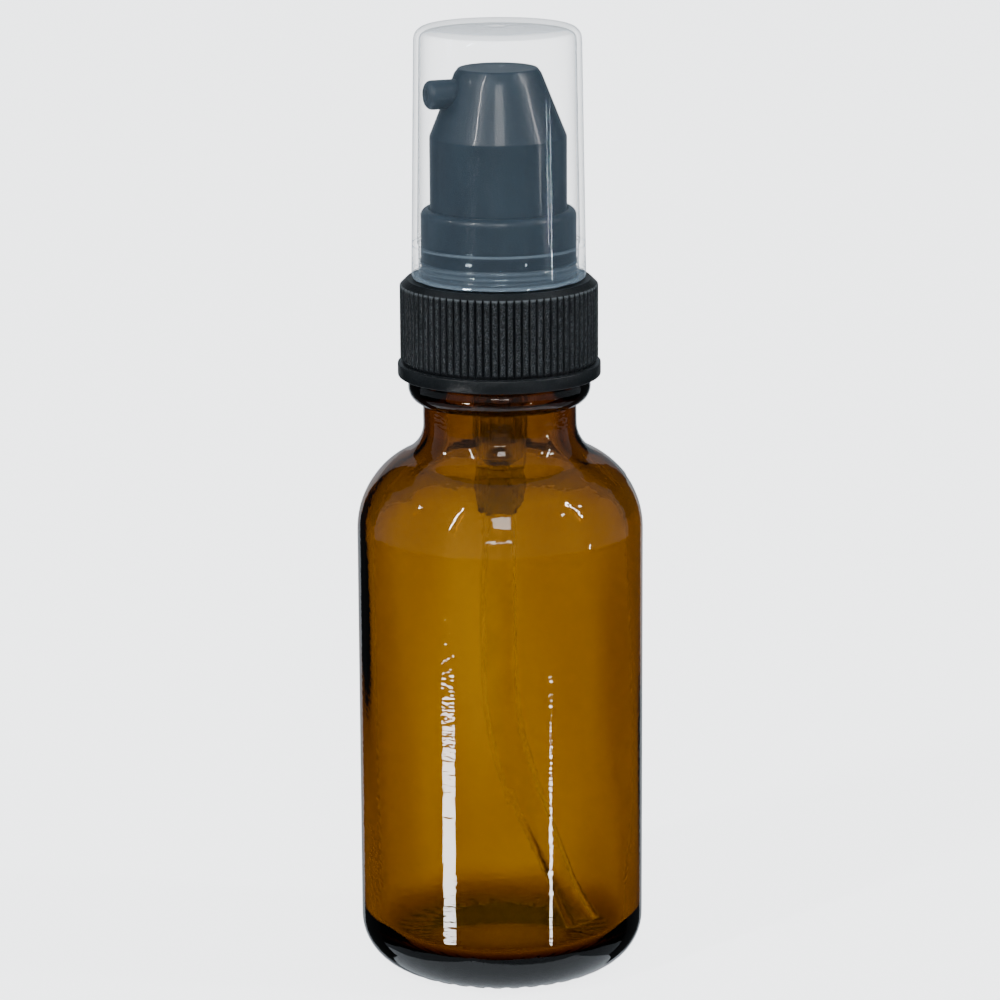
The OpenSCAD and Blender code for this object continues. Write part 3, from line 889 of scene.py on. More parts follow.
@dataclass
class Closure(SubAssembly):
    """The ribbed screw closure, with its plain band, bevelled rib ends and inner thread."""

    ribs: int = 80
    columns: int = 8
    rib_depth: float = 0.3
    top_bevel: float = 0.9  # how far a rib's end leans back, as a share of how far it stands out
    foot_bevel: float = 1.6
    band_h: float = 1.6
    chamfer: float = 0.5
    roof_t: float = 0.9
    entry_r: float = 10.75
    entry_h: float = 1.2
    root_r: float = 10.15
    hole_r: float = 6.1
    thread_proud: float = 0.95
    thread_z: float = 0.95  # height of the thread's middle at no turn above the closure's rim
    thread_from: float = 150.0
    thread_to: float = 480.0
    rim_edge_r: float = 0.22
    band_edge_r: float = 0.12
    hole_edge_r: float = 0.15

    def __post_init__(self) -> None:
        """Takes the outer sizes from the CAD node."""
        span = Span.of("closure")
        self.band_r, self.low, self.high = span.radius, span.low, span.high
        self.wall_r = self.band_r - 2 * self.rib_depth
        self.band_z = self.low + self.band_h
        self.top_z = self.high - self.chamfer
        self.thread = Thread(proud=self.thread_proud, half_w=0.62, crest_half_w=0.28, start=self.thread_from,
                             foot_z=self.low + self.thread_z, stop=self.thread_to)

    def outline(self) -> list[Point]:
        """The closure's outline, from its rim up the outside and down the inside."""
        rim, band, hole, roof_z = self.rim_edge_r, self.band_edge_r, self.hole_edge_r, self.high - self.roof_t
        return [
            (self.entry_r, self.low),
            *arc(self.band_r - rim, self.low + rim, rim, -90, 0, 4),
            *arc(self.band_r - band, self.band_z - band - 0.1, band, 0, 75, 3),
            (self.wall_r + 0.02, self.band_z),
            *run((self.wall_r, self.band_z + 0.05), (self.wall_r, self.top_z), 4),
            (self.wall_r - self.chamfer, self.high),
            (self.wall_r - self.chamfer - 0.25, self.high),
            *arc(self.hole_r + hole, self.high - hole, hole, 90, 180, 3),
            (self.hole_r, roof_z),
            *run((self.root_r, roof_z), (self.root_r, self.low + self.entry_h + 0.4), 34),
            (self.entry_r, self.low + self.entry_h),
        ]

    def move(self, angle: float, radius: float, z: float) -> Point:
        """Raises the ribs on the outer wall and the thread on the inner one.

        Args:
            angle: The point's angle in radians.
            radius: Its distance from the axis in millimetres.
            z: Its height in millimetres.

        Returns:
            Its new distance and height.
        """
        if abs(radius - self.wall_r) < NEAR and self.band_z < z < self.high - NEAR:
            proud = self.rib_depth * abs(math.cos(angle * self.ribs / 2)) ** 0.6
            if z > self.top_z - NEAR:
                z -= proud * self.top_bevel
            elif z < self.band_z + 0.1:
                z += proud * self.foot_bevel
            return radius + proud, z
        if abs(radius - self.root_r) < NEAR:
            return radius - self.thread.rise(angle, z), z
        return radius, z

    def build(self) -> None:
        """Makes the closure."""
        piece = lathe("closure_shell", self.outline(), self.ribs * self.columns)
        reshape(piece, self.move)
        self.shop.deliver(piece, Finish.CLOSURE_BLACK, "closure", "closure", crease=28)


# ---- pump


@dataclass
class PumpBody(SubAssembly):
    """What the closure holds on the lip: the housing, its ball, the gasket, the guide and the collar."""

    chamber_r: float = 4.0
    chamber_wall: float = 0.9
    flange_r: float = 8.4
    flange_t: float = 0.9
    well_h: float = 5.2
    well_bore_r: float = 2.25
    well_r: float = 2.79
    well_rib_proud: float = 0.39
    well_ribs: int = 12
    pocket_r: float = 1.72
    ball_hole_r: float = 0.9
    socket_h: float = 3.6
    socket_r: float = 1.95
    collar_wall: float = 0.9
    collar_floor_t: float = 1.0
    collar_bead: float = 0.08
    collar_rise: float = 1.1  # from the flange to the collar's floor
    spigot_r: float = 6.0
    guide_bore_r: float = 2.0
    guide_clip_h: float = 2.2
    fit: float = 0.03  # gap between pieces that fit closely

    def __post_init__(self) -> None:
        """Takes heights from the CAD nodes."""
        self.housing, self.gasket = Span.of("pump_housing"), Span.of("gasket")
        self.guide, self.collar, self.ball = Span.of("stem_guide"), Span.of("collar"), Span.of("inlet_ball")
        self.spring = Span.of("return_spring")
        self.flange_z = self.gasket.high
        self.flange_top = self.flange_z + self.flange_t
        self.seat_z = self.spring.low
        self.well_top = self.seat_z + self.well_h
        self.chamber_out = self.chamber_r + self.chamber_wall

    def housing_outline(self) -> list[Point]:
        """Outline of the pump housing, from its tip up the outside and down the bore."""
        socket_top = self.housing.low + self.socket_h
        ball_seat = socket_top + 0.8
        return softened([
            (self.socket_r + 0.15, self.housing.low),
            (self.socket_r + 0.5, self.housing.low),
            (self.well_r, self.housing.low + 2.6),
            (self.well_r, self.well_top),
            (self.chamber_out, self.well_top + 1.2),
            (self.chamber_out, self.flange_z),
            (self.flange_r, self.flange_z),
            (self.flange_r, self.flange_top),
            (self.chamber_out, self.flange_top),
            (self.chamber_out, self.housing.high),
            (self.chamber_r, self.housing.high),
            (self.chamber_r, self.well_top + 1.6),
            (self.well_bore_r, self.well_top + 0.4),
            (self.well_bore_r, self.seat_z),
            (self.pocket_r, self.seat_z),
            (self.pocket_r, ball_seat + 1.1),
            (self.ball_hole_r, ball_seat),
            (self.ball_hole_r, socket_top),
            (self.socket_r, socket_top),
            (self.socket_r, self.housing.low + 0.4),
        ], 0.12)

    def build_housing(self) -> None:
        """Makes the housing with its ribbed well."""
        rib_low, rib_high, step = self.seat_z + 0.15, self.well_top - 0.35, 0.15
        points = self.housing_outline()
        ribbed: list[Point] = []
        for a, b in pairwise([*points, points[0]]):
            ribbed.append(a)
            if max(abs(a[0] - self.well_r), abs(b[0] - self.well_r)) < NEAR and b[1] - a[1] > 2:
                ribbed += [(self.well_r, z) for z in (rib_low, rib_low + step, rib_high - step, rib_high)]
        piece = lathe("housing_body", ribbed, self.well_ribs * 12)

        def raise_ribs(angle: float, radius: float, z: float) -> Point:
            """Raises the ribs round the spring well.

            Args:
                angle: The point's angle in radians.
                radius: Its distance from the axis in millimetres.
                z: Its height in millimetres.

            Returns:
                Its new distance and height.
            """
            on_well = abs(radius - self.well_r) < NEAR and rib_low + step / 3 < z < rib_high - step / 3
            if on_well and math.cos(angle * self.well_ribs + math.pi) > 0.45:
                return radius + self.well_rib_proud, z
            return radius, z

        reshape(piece, raise_ribs)
        self.shop.deliver(piece, Finish.NATURAL_PLASTIC, "pump", "pump_housing")

    def build_gasket(self) -> None:
        """Makes the foam gasket on the lip, pressed a little along its inner edge."""
        inner = self.chamber_out + 0.1
        low, high, r = self.gasket.low, self.gasket.high, self.gasket.radius
        outline = [(inner, low), (6.2, low), (6.5, low + 0.03), (8.0, low + 0.03), (r, low), (r, high), (inner, high)]
        self.shop.deliver(lathe("gasket_disc", softened(outline, 0.12), 96), Finish.FOAM_LINER, "pump", "gasket")

    def build_guide(self) -> None:
        """Makes the stem guide that clips on the housing's top."""
        stem_r, top = self.guide_bore_r, self.housing.high
        skirt, clip = self.chamber_r - self.fit, self.chamber_out + self.fit
        outline = softened([
            (stem_r, top - 0.6),
            (stem_r + 0.9, top - 0.6),
            (stem_r + 0.9, top),
            (skirt - 0.7, top),
            (skirt - 0.7, self.guide.low),
            (skirt, self.guide.low),
            (skirt, top),
            (clip, top),
            (clip, top - self.guide_clip_h),
            (clip + 0.6, top - self.guide_clip_h),
            (clip + 0.6, self.guide.high),
            (stem_r, self.guide.high),
        ], 0.16)
        self.shop.deliver(lathe("guide_cap", outline, 96), Finish.NATURAL_PLASTIC, "pump", "stem_guide")

    def build_collar(self) -> None:
        """Makes the collar: a thin cup with a rounded rim and the bead that holds the overcap."""
        outer = self.collar.radius - self.collar_bead
        inner = outer - self.collar_wall
        floor = self.flange_top + self.collar_rise
        inside, bead_z = floor + self.collar_floor_t, floor + 1.8
        hub, rim = self.chamber_out + self.fit, self.collar_wall
        outline = [
            (hub, self.collar.low),
            (self.spigot_r, self.collar.low),
            (self.spigot_r, floor),
            *arc(outer - 0.15, floor + 0.15, 0.15, -90, 0, 3),
            (outer, bead_z - 0.35),
            *bulge(outer, bead_z, self.collar_bead, 0.22, 8),
            *run((outer, bead_z + 0.4), (outer, self.collar.high - rim - 0.2), 2),
            *arc(inner + 0.02, self.collar.high - rim, rim - 0.02, 0, 78, 8),
            (inner + 0.06, self.collar.high - 0.04),
            (inner, self.collar.high - 0.14),
            (inner, inside + 0.15),
            (inner - 0.15, inside),
            (hub + 0.6, inside),
            (hub + 0.6, inside + 2),
            (hub, inside + 2),
        ]
        self.shop.deliver(lathe("collar_shell", outline, 160), Finish.PUMP_SLATE, "pump", "collar")

    def build_ball(self) -> None:
        """Makes the inlet ball, with the faint flat band that tumbling leaves."""
        r, z = self.ball.radius, (self.ball.low + self.ball.high) / 2
        banded = [(min(x, r * 0.9995), y) for x, y in arc(0, z, r, -90, 90, 24)]
        piece = lathe("inlet_ball_bead", [(0.0, z - r), *banded[1:-1], (0.0, z + r)], 48, closed=False)
        self.shop.deliver(piece, Finish.SPRING_STEEL, "ball", "inlet_ball")

    def build(self) -> None:
        """Makes every fixed piece of the pump."""
        self.build_housing()
        self.build_gasket()
        self.build_guide()
        self.build_collar()
        self.build_ball()


@dataclass
class Plunger(SubAssembly):
    """What moves in the pump: the stem, its plug, the piston and the return spring."""

    stem_r: float = 1.9
    stem_bore_r: float = 1.05
    port_w: float = 0.8
    port_h: float = 0.7
    plug_head_r: float = 2.9
    plug_head_t: float = 0.8
    wire_r: float = 0.225
    spring_r: float = 1.875
    spring_turns: int = 8
    end_turns: int = 1
    steps_per_turn: int = 24
    stroke: float = 4.0

    def __post_init__(self) -> None:
        """Takes heights from the CAD nodes."""
        self.stem, self.plug = Span.of("stem"), Span.of("stem_plug")
        self.piston, self.spring = Span.of("piston"), Span.of("return_spring")

    def cut_port(self, piece: bpy.types.Object, low: float, height: float) -> None:
        """Cuts the slot across a piece, from a height up, that lets liquid into the stem."""
        tool = block((4 * self.stem_r, self.port_w, height), (0, 0, low + height / 2))
        carve(piece, tool, "DIFFERENCE")

    def build_stem(self) -> None:
        """Makes the hollow stem."""
        low, high = self.stem.low, self.stem.high
        outline = softened([(self.stem_bore_r, low), (self.stem_r, low), (self.stem_r, high),
                            (self.stem_bore_r, high)], 0.12)
        piece = lathe("stem_tube", outline, 64)
        self.cut_port(piece, low - 0.5, self.port_h + 0.5)
        self.shop.deliver(piece, Finish.NATURAL_PLASTIC, "stem", "stem")

    def build_plug(self) -> None:
        """Makes the plug that closes the stem's foot and carries the spring."""
        head_z = self.stem.low - self.plug_head_t
        tail_r, top_r, tip = self.spring_r - self.wire_r - 0.25, 0.9, 0.5
        corner = 4  # points that softened makes of a corner, left out at both ends
        sides = softened([
            (tail_r, self.plug.low + 0.6), (tail_r, head_z), (self.plug_head_r, head_z),
            (self.plug_head_r, self.stem.low), (self.stem_bore_r, self.stem.low),
            (self.stem_bore_r, self.plug.high), (top_r, self.plug.high),
        ], 0.1)[corner:-corner]
        outline = [
            (0.0, self.plug.low),
            *arc(tail_r - tip, self.plug.low + tip, tip, -80, 0, 5),
            *sides,
            (top_r, self.plug.high),
            (0.0, self.plug.high),
        ]
        piece = lathe("stem_plug_body", outline, 64, closed=False)
        self.cut_port(piece, self.stem.low, 2.6)
        self.shop.deliver(piece, Finish.NATURAL_PLASTIC, "stem", "stem_plug")

    def build_piston(self) -> None:
        """Makes the piston: a hub, a web and a sleeve with two sealing lips."""
        low, high, seal = self.piston.low, self.piston.high, self.piston.radius
        hub_in, hub_out, sleeve = self.stem_r + 0.05, self.stem_r + 0.7, seal - 0.55
        web = (low + high) / 2
        outline = softened([
            (hub_in, low), (hub_out, low), (hub_out, web - 0.4), (sleeve, web - 0.4),
            (seal - 0.2, low + 1.3), (seal, low + 1.3), (seal, low + 1.9), (seal - 0.15, low + 2.3),
            (seal - 0.15, high - 1.5), (seal, high - 1.1), (seal, high - 0.5), (seal - 0.2, high - 0.5),
            (sleeve, web + 0.4), (hub_out, web + 0.4), (hub_out, high), (hub_in, high),
        ], 0.1)
        self.shop.deliver(lathe("piston_body", outline, 96), Finish.NATURAL_PLASTIC, "piston", "piston")

    def coil_height(self, turn: float) -> float:
        """Height of the wire's centre: close at both ends of the spring, open between them.

        Args:
            turn: Turns from the foot.

        Returns:
            The height in millimetres.
        """
        wire_d = 2 * self.wire_r
        length = self.spring.high - self.spring.low
        gap = length - wire_d * (2 * self.end_turns + 1)
        total = self.spring_turns + 2 * self.end_turns
        return (
            self.spring.low + self.wire_r
            + wire_d * min(turn, self.end_turns)
            + gap * max(0, min(turn - self.end_turns, self.spring_turns)) / self.spring_turns
            + wire_d * max(0, turn - total + self.end_turns)
        )

    def build_spring(self) -> None:
        """Makes the return spring: a round wire's end, extruded and turned step by step."""
        pick_nothing()
        bpy.ops.mesh.primitive_circle_add(
            vertices=12, radius=self.wire_r, fill_type="NGON", rotation=(math.pi / 2, 0, 0),
            location=(self.spring_r, 0, self.coil_height(0)))
        piece = name_new("return_spring_coil")
        bpy.ops.object.transform_apply(location=True, rotation=True, scale=True)
        edit_all(piece)
        steps = (self.spring_turns + 2 * self.end_turns) * self.steps_per_turn
        for i in range(steps):
            rise = self.coil_height((i + 1) / self.steps_per_turn) - self.coil_height(i / self.steps_per_turn)
            bpy.ops.mesh.extrude_region_move(TRANSFORM_OT_translate={"value": (0, 0, rise)})
            bpy.ops.transform.rotate(value=-math.tau / self.steps_per_turn, orient_axis="Z",
                                     center_override=(0, 0, 0))
        bpy.ops.mesh.select_all(action="SELECT")
        bpy.ops.mesh.normals_make_consistent(inside=False)
        bpy.ops.object.mode_set(mode="OBJECT")
        self.shop.deliver(piece, Finish.SPRING_STEEL, "pump", "return_spring")
        length = self.stem.low - self.plug_head_t - self.spring.low
        self.spring.low * MM
        (length - self.stroke) / length
        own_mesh(piece)

    def build(self) -> None:
        """Makes every moving piece inside the pump."""
        self.build_stem()
        self.build_plug()
        self.build_piston()
        self.build_spring()


@dataclass
class DipTube(SubAssembly):
    """The dip tube: straight out of the housing, one bend, and a straight leg to the heel."""

    radius: float = 1.92
    bore_r: float = 1.3
    tilt_deg: float = 25.0
    bend_r: float = 40.0
    turn_deg: float = -38.0
    sides: int = 48
    bend_steps: int = 20

    def stations(self) -> list[tuple[float, float, float]]:
        """Places along the tube from its top: distance out, height and tilt."""
        low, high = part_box("dip_tube")
        top_z, foot_low = high.z / MM, low.z / MM
        tilt = math.radians(self.tilt_deg)
        foot_z = foot_low + self.radius * math.sin(tilt)
        reach = max(abs(v) for v in (low.x, high.x)) / MM
        along = math.cos(math.radians(self.turn_deg))
        side = math.sqrt(math.cos(tilt) ** 2 * along**2 + math.sin(math.radians(self.turn_deg)) ** 2)
        foot_r = (reach - self.radius * side) / along
        bend_x = self.bend_r * (1 - math.cos(tilt))
        leg = (foot_r - bend_x) / math.sin(tilt)
        bend_z = foot_z + self.bend_r * math.sin(tilt) + leg * math.cos(tilt)
        bend = [tilt * i / self.bend_steps for i in range(self.bend_steps + 1)]
        return [
            (0.0, top_z, 0.0),
            *((self.bend_r * (1 - math.cos(t)), bend_z - self.bend_r * math.sin(t), t) for t in bend),
            (foot_r, foot_z, tilt),
        ]

    def build(self) -> None:
        """Makes the tube: a ring extruded from station to station, then given its wall."""
        route = self.stations()
        pick_nothing()
        bpy.ops.mesh.primitive_circle_add(vertices=self.sides, radius=self.radius, fill_type="NOTHING",
                                          location=(0, 0, route[0][1]))
        piece = name_new("dip_tube_run")
        bpy.ops.object.transform_apply(location=True, rotation=True, scale=True)
        edit_all(piece)
        for (x0, z0, t0), (x1, z1, t1) in pairwise(route):
            bpy.ops.mesh.extrude_region_move(TRANSFORM_OT_translate={"value": (x1 - x0, 0, z1 - z0)})
            if t1 != t0:
                bpy.ops.transform.rotate(value=t1 - t0, orient_axis="Y", center_override=(x1, 0, z1))
        close_skin()
        modify(piece, "SOLIDIFY", {"thickness": self.radius - self.bore_r, "offset": -1})
        piece.data.transform(Matrix.Rotation(math.radians(self.turn_deg), 4, "Z"))
        self.shop.deliver(piece, Finish.TUBE_PLASTIC, "pump", "dip_tube", crease=40)


# ---- actuator


@dataclass
class Actuator(SubAssembly):
    """The press head: a straight skirt, a cone with a dished top, and the nozzle."""

    wall: float = 0.95
    cone_h: float = 7.65
    top_r: float = 4.62
    crease_r: float = 0.5
    edge_r: float = 0.35
    dish: float = 0.15
    roof_t: float = 1.3
    hub_r: float = 3.0
    socket_r: float = 1.93
    skirt_r: float = 7.71
    nozzle_r: float = 1.65
    nozzle_drop: float = 2.67
    nozzle_round: float = 0.75
    nozzle_bore_r: float = 0.7
    nozzle_bore_h: float = 3.4
    fin_t: float = 0.8
    hub_rise: float = 4.6  # from the stem guide to the hub's foot

    def __post_init__(self) -> None:
        """Takes heights and the nozzle's reach from the CAD nodes."""
        low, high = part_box("actuator")
        self.low, self.high, self.reach = low.z / MM, high.z / MM, -low.x / MM
        self.cone_z = self.high - self.cone_h
        self.roof_z = self.high - self.roof_t
        self.nozzle_z = self.high - self.nozzle_drop
        self.stem_top = Span.of("stem").high
        self.hub_z = Span.of("stem_guide").high + self.hub_rise

    def outline(self) -> list[Point]:
        """Outline of the shell, from the skirt's foot over the top and down inside to the stem socket."""
        lean = math.degrees(math.atan2(self.skirt_r - self.top_r, self.cone_h))
        inner = self.skirt_r - self.wall
        taper = (self.skirt_r - self.top_r) / self.cone_h
        bend = self.crease_r * math.tan(math.radians(lean) / 2)
        top_inner = inner - taper * (self.roof_z - self.cone_z + 0.4)
        return [
            (inner + 0.1, self.low),
            *arc(self.skirt_r - 0.2, self.low + 0.2, 0.2, -90, 0, 3),
            *run((self.skirt_r, self.low + 1), (self.skirt_r, self.cone_z - 1), 6),
            *arc(self.skirt_r - self.crease_r, self.cone_z - bend, self.crease_r, 0, lean, 4),
            *run((self.skirt_r - taper * 0.5, self.cone_z + 0.5),
                 (self.top_r + 0.42 * taper + 0.1, self.high - 0.6), 6),
            *arc(self.top_r - self.edge_r, self.high - self.edge_r, self.edge_r, lean, 90, 6),
            (self.top_r - self.edge_r - 0.25, self.high),
            (self.top_r - self.edge_r - 0.6, self.high - 0.05),
            *run((3.0, self.high - self.dish * 0.7), (0.4, self.high - self.dish), 3),
            (0.0, self.high - self.dish),
            (0.0, self.stem_top + 0.1),
            (self.socket_r, self.stem_top + 0.1),
            (self.socket_r, self.hub_z + 0.25),
            (self.socket_r + 0.25, self.hub_z),
            (self.hub_r, self.hub_z),
            (self.hub_r, self.roof_z),
            (top_inner, self.roof_z),
            (inner, self.cone_z - 0.4),
            (inner, self.low + 0.3),
        ]

    def nozzle(self) -> bpy.types.Object:
        """The nozzle as a solid bar with a rounded mouth and a short bore."""
        r, tip = self.nozzle_r, self.nozzle_round
        outline = [
            (0.0, 1.0),
            (r, 1.0),
            *run((r, 3.0), (r, self.reach - tip - 0.3), 6),
            *arc(r - tip, self.reach - tip, tip, 0, 90, 8),
            *arc(self.nozzle_bore_r + 0.12, self.reach - 0.12, 0.12, 90, 180, 3),
            (self.nozzle_bore_r, self.reach - self.nozzle_bore_h),
            (0.0, self.reach - self.nozzle_bore_h),
        ]
        piece = lathe("nozzle", outline, 56, closed=False)
        turn_to_nozzle(piece, self.nozzle_z)
        return piece

    def fin(self, turn: float) -> bpy.types.Object:
        """One fin that ties the hub to the skirt.

        Args:
            turn: Direction of the fin in degrees.

        Returns:
            The fin as a solid.
        """
        low, high = self.hub_z + 1.5, self.cone_z
        outer, inner = self.skirt_r - self.wall + 0.3, self.socket_r + 0.4
        piece = block((outer - inner, self.fin_t, high - low), ((outer + inner) / 2, 0, (low + high) / 2))
        piece.data.transform(Matrix.Rotation(math.radians(turn), 4, "Z"))
        return piece

    def build(self) -> None:
        """Makes the actuator."""
        piece = lathe("actuator_head", self.outline(), 160)
        for turn in (0, 90, 180, 270):
            carve(piece, self.fin(turn), "UNION")
        carve(piece, self.nozzle(), "UNION")
        self.shop.deliver(piece, Finish.PUMP_SLATE, "head", "actuator", crease=25)


# ---- overcap


@dataclass
class Overcap(SubAssembly):
    """The clear overcap: a drafted cup with snap rings inside its rim and a gate mark on top."""

    wall: float = 0.6
    draft: float = 0.46
    edge_r: float = 1.4
    skirt_h: float = 3.8
    snap_inset: float = 0.92  # from the outer wall to the snap rings' crests
    snap_pitch: float = 0.6
    snap_depth: float = 0.14
    gate_depth: float = 0.1
    rim_wave: float = 0.035
    wall_wave: float = 0.012

    def __post_init__(self) -> None:
        """Takes the outer sizes from the CAD node."""
        span = Span.of("overcap")
        self.radius, self.low, self.high = span.radius, span.low, span.high

    def outline(self) -> list[Point]:
        """Outline of the overcap, from the rim up the outside and down the inside."""
        top_r = self.radius - self.draft
        groove = self.radius - self.snap_inset + self.snap_depth
        step_z = self.low + self.skirt_h
        inside_step = self.radius - self.wall - self.draft * self.skirt_h / (self.high - self.low)
        roof = self.high - self.wall
        inner_edge = self.edge_r - self.wall
        snaps = [
            point
            for i in (2, 1, 0)
            for point in reversed(bulge(groove, self.low + 0.7 + i * self.snap_pitch, -self.snap_depth, 0.2, 6))
        ]
        return [
            (groove, self.low + 0.08),
            (groove + 0.12, self.low),
            *arc(self.radius - 0.2, self.low + 0.2, 0.2, -90, 0, 4),
            *run((self.radius - 0.02, self.low + 1.2), (top_r + 0.02, self.high - self.edge_r - 0.4), 14),
            *arc(top_r - self.edge_r, self.high - self.edge_r, self.edge_r, 0, 90, 10),
            (2.5, self.high),
            (0.85, self.high),
            (0.75, self.high - self.gate_depth),
            (0.35, self.high - self.gate_depth),
            (0.3, self.high - 0.02),
            (0.0, self.high - 0.02),
            (0.0, roof),
            (1.5, roof),
            *arc(top_r - self.wall - inner_edge, roof - inner_edge, inner_edge, 90, 0, 8),
            *run((top_r - self.wall + 0.01, roof - inner_edge - 0.5), (inside_step, step_z + 0.35), 14),
            (inside_step, step_z + 0.12),
            (groove, step_z - 0.1),
            *snaps,
        ]

    def move(self, angle: float, radius: float, z: float) -> Point:
        """Gives the rim and the inner wall the slight unevenness of a moulding.

        Args:
            angle: The point's angle in radians.
            radius: Its distance from the axis in millimetres.
            z: Its height in millimetres.

        Returns:
            Its new distance and height.
        """
        if z < self.low + 0.3:
            return radius, z + self.rim_wave * (1 + math.sin(5 * angle + 0.4) * math.sin(11 * angle))
        if z < self.high - self.edge_r and radius < self.radius - 0.5:
            return radius + self.wall_wave * math.sin(4 * angle + z / 7), z
        return radius, z

    def build(self) -> None:
        """Makes the overcap."""
        piece = lathe("overcap_shell", self.outline(), 192)
        reshape(piece, self.move)
        self.shop.deliver(piece, Finish.OVERCAP_CLEAR, "overcap", "overcap", crease=35)


# ---- studio


class Rays(Enum):
    """Which rays a card shows itself to."""

    STRAIGHT = "straight from the camera"
    REFLECTED = "reflected"
    REFRACTED = "refracted"


@dataclass(frozen=True)
class Screen:
    """A row of upright cards round the object, edge to edge."""

    name: str
    edges: tuple[float, ...]  # where their upright edges are, in degrees to the right of the viewer
    distance: float  # metres from the axis
    low: float  # height of the foot in metres
    high: float
    glow: float  # brightness, from 0 for black
    seen_by: Rays


@dataclass(frozen=True)
class Strip:
    """A soft light that faces the object."""

    name: str
    azimuth: float  # degrees to the right of the viewer
    height: float  # height of its middle in metres
    size: Point  # width and height in metres
    power: float  # watts


FULL_RING = tuple(30.0 * i for i in range(13))
SCREENS = (
    Screen("dark_left", (-152, -135, -118), 0.30, -0.30, 0.34, 0.02, Rays.REFLECTED),
    Screen("dark_right", (122, 138, 154), 0.30, -0.30, 0.34, 0.03, Rays.REFLECTED),
    Screen("dark_front", (-130, -95, -60, -25, 25, 60, 95, 130), 1.2, -0.60, -0.16, 0.01, Rays.REFLECTED),
    Screen("rim_glow", (154, 180, 208), 0.6, -0.40, 0.10, 0.55, Rays.REFLECTED),
    Screen("ring_glow", FULL_RING, 1.5, 0.0, 3.0, 3.0, Rays.REFRACTED),
    Screen("backdrop", FULL_RING, 3.9, -0.5, 6.0, 3.3, Rays.STRAIGHT),
)
STRIPS = (
    Strip("low_left", -43, -0.274, (0.17, 0.076), 1.7),
    Strip("low_right", 40, -0.281, (0.035, 0.062), 0.35),
    Strip("mid_right", 74, -0.045, (0.012, 0.08), 0.18),
    Strip("high_left", -43, 0.75, (0.024, 0.6), 4.5),
    Strip("high_right", 77, 0.75, (0.02, 0.5), 3),
    Strip("overhead", 3, 0.72, (0.30, 0.30), 2.8),
    Strip("brow", 0, 0.24, (0.4, 0.03), 0.55),
    Strip("lamp_left", -84, 0.7, (0.05, 0.07), 0.5),
    Strip("lamp_right", 62, 0.7, (0.05, 0.07), 0.3),
    Strip("lamp_far_right", 84, 0.7, (0.05, 0.07), 0.5),
)


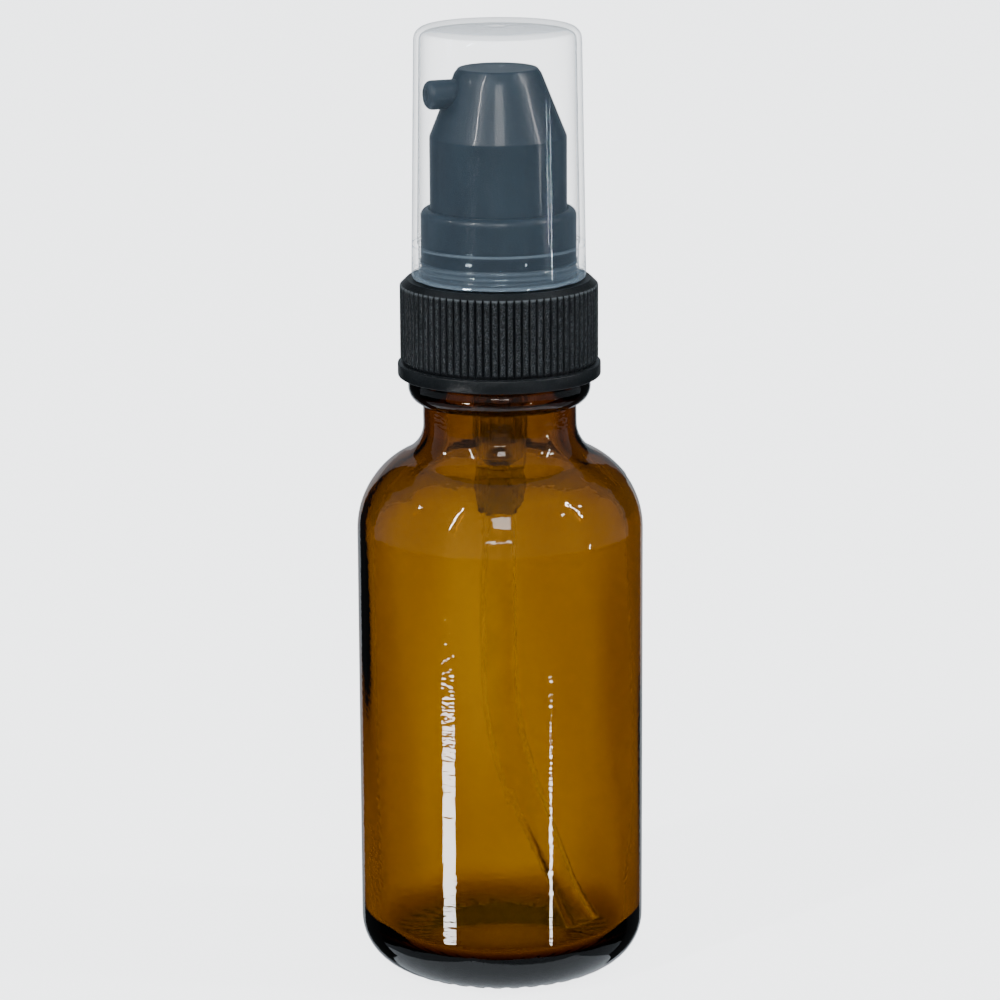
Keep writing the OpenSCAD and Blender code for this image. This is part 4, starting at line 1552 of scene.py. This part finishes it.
@dataclass
class Studio:
    """The camera, the pale floor, the sky, and the cards and lights round the object."""

    heading_deg: float = -20.0
    distance: float = 0.46889
    height: float = 0.16917
    pitch_deg: float = 13.723
    roll_deg: float = 0.3
    lens: float = 152.42
    floor_size: float = 8.0
    floor_glow: float = 3.2
    floor_grain_mm: float = 600.0
    card_colour: Triple = (0.84, 0.92, 1.0)
    sky_colour: Triple = (0.80, 0.90, 1.0)
    sky_strength: float = 0.3
    strip_distance: float = 0.9
    strip_target: float = 0.06  # height on the axis that the lights face, in metres

    def __post_init__(self) -> None:
        """Works out the viewer's directions."""
        a = math.radians(self.heading_deg)
        self.right = Vector((math.cos(a), math.sin(a), 0))
        self.away = Vector((-math.sin(a), math.cos(a), 0))

    def around(self, azimuth_deg: float, distance: float, height: float) -> Vector:
        """A place round the object: degrees to the right of the viewer, metres from the axis and the floor."""
        a = math.radians(azimuth_deg)
        return self.right * math.sin(a) * distance - self.away * math.cos(a) * distance + Vector((0, 0, height))

    def build_camera(self) -> None:
        """Makes the camera."""
        pick_nothing()
        bpy.ops.object.camera_add(location=self.away * -self.distance + Vector((0, 0, self.height)))
        camera = bpy.context.object
        turn = Matrix.Rotation(math.radians(self.heading_deg), 4, "Z")
        tilt = Matrix.Rotation(math.radians(90 - self.pitch_deg), 4, "X")
        roll = Matrix.Rotation(math.radians(-self.roll_deg), 4, "Z")
        camera.rotation_euler = (turn @ tilt @ roll).to_euler()
        camera.data.lens = self.lens
        camera.data.clip_start = 0.02
        camera.data.clip_end = 30
        bpy.context.scene.camera = camera

    def build_floor(self) -> None:
        """Makes the pale floor."""
        pick_nothing()
        bpy.ops.mesh.primitive_grid_add(x_subdivisions=8, y_subdivisions=8, size=self.floor_size)
        floor = bpy.context.object
        floor.name = "floor"
        shader = Shader("floor_white")
        shade = shader.noise(self.floor_grain_mm, 2)
        floor.data.materials.append(shader.surface({
            "Base Color": shader.blend(shade, (0.80, 0.81, 0.82), (0.84, 0.845, 0.85)),
            "Roughness": 0.9,
            "Emission Color": (0.96, 0.98, 1.0, 1),
            "Emission Strength": self.floor_glow,
        }))
        floor.visible_glossy = floor.visible_diffuse = False

    def build_card(self, name: str, corners: list[Vector], glow: float, seen_by: Rays) -> None:
        """Makes a flat glowing or dark card that only some rays see.

        Args:
            name: Its name.
            corners: Its corners, two along each of two facing edges.
            glow: Its brightness, from 0 for black.
            seen_by: The rays that see it.
        """
        pick_nothing()
        bpy.ops.mesh.primitive_plane_add(size=1)
        card = bpy.context.object
        card.name = name
        for vertex, place in zip(card.data.vertices, corners):
            vertex.co = place
        glowing = {"Color": (*self.card_colour, 1), "Strength": glow}
        card.data.materials.append(Shader(name + "_face").show("ShaderNodeEmission", glowing))
        card.visible_diffuse = card.visible_shadow = False
        card.visible_camera = seen_by is Rays.STRAIGHT
        card.visible_glossy = seen_by is Rays.REFLECTED
        card.visible_transmission = seen_by is Rays.REFRACTED

    def build_screen(self, screen: Screen) -> None:
        """Stands a row of cards round the object.

        Args:
            screen: Where they stand and who sees them.
        """
        rise = Vector((0, 0, screen.high - screen.low))
        for i, pair in enumerate(pairwise(screen.edges)):
            first, last = (self.around(edge, screen.distance, screen.low) for edge in pair)
            corners = [first, last, first + rise, last + rise]
            self.build_card(f"{screen.name}_{i}", corners, screen.glow, screen.seen_by)

    def build_strip(self, strip: Strip) -> None:
        """Makes a soft light and turns it to the object.

        Args:
            strip: Where it is and how bright.
        """
        place = self.around(strip.azimuth, self.strip_distance, strip.height)
        pick_nothing()
        bpy.ops.object.light_add(type="AREA", location=place)
        light = bpy.context.object
        light.name = strip.name
        light.data.shape = "RECTANGLE"
        light.data.size, light.data.size_y = strip.size
        light.data.energy = strip.power
        light.rotation_euler = (Vector((0, 0, self.strip_target)) - place).to_track_quat("-Z", "Y").to_euler()
        light.visible_camera = False

    def build_world(self) -> None:
        """Lights everything faintly and evenly with a pale blue sky."""
        world = bpy.data.worlds.new("studio")
        world.use_nodes = True
        bpy.context.scene.world = world
        background = world.node_tree.nodes["Background"]
        background.inputs["Color"].default_value = (*self.sky_colour, 1)
        background.inputs["Strength"].default_value = self.sky_strength

    def build(self) -> None:
        """Sets the whole studio."""
        self.build_camera()
        self.build_floor()
        self.build_world()
        for screen in SCREENS:
            self.build_screen(screen)
        under = [Vector((x, y, -0.25)) for y in (-0.3, 0.3) for x in (-0.3, 0.3)]
        self.build_card("under_glow", under, 1.1, Rays.REFLECTED)
        for strip in STRIPS:
            self.build_strip(strip)


def main() -> None:
    """Builds the dispenser piece by piece, then the studio."""
    logging.basicConfig(level=logging.INFO, format="%(name)s: %(message)s")
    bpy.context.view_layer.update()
    shop = Workshop()
    for maker in (Bottle, DipTube, PumpBody, Plunger, Closure, Actuator, Overcap):
        maker(shop).build()
    Studio().build()


if __name__ == "__main__":
    main()
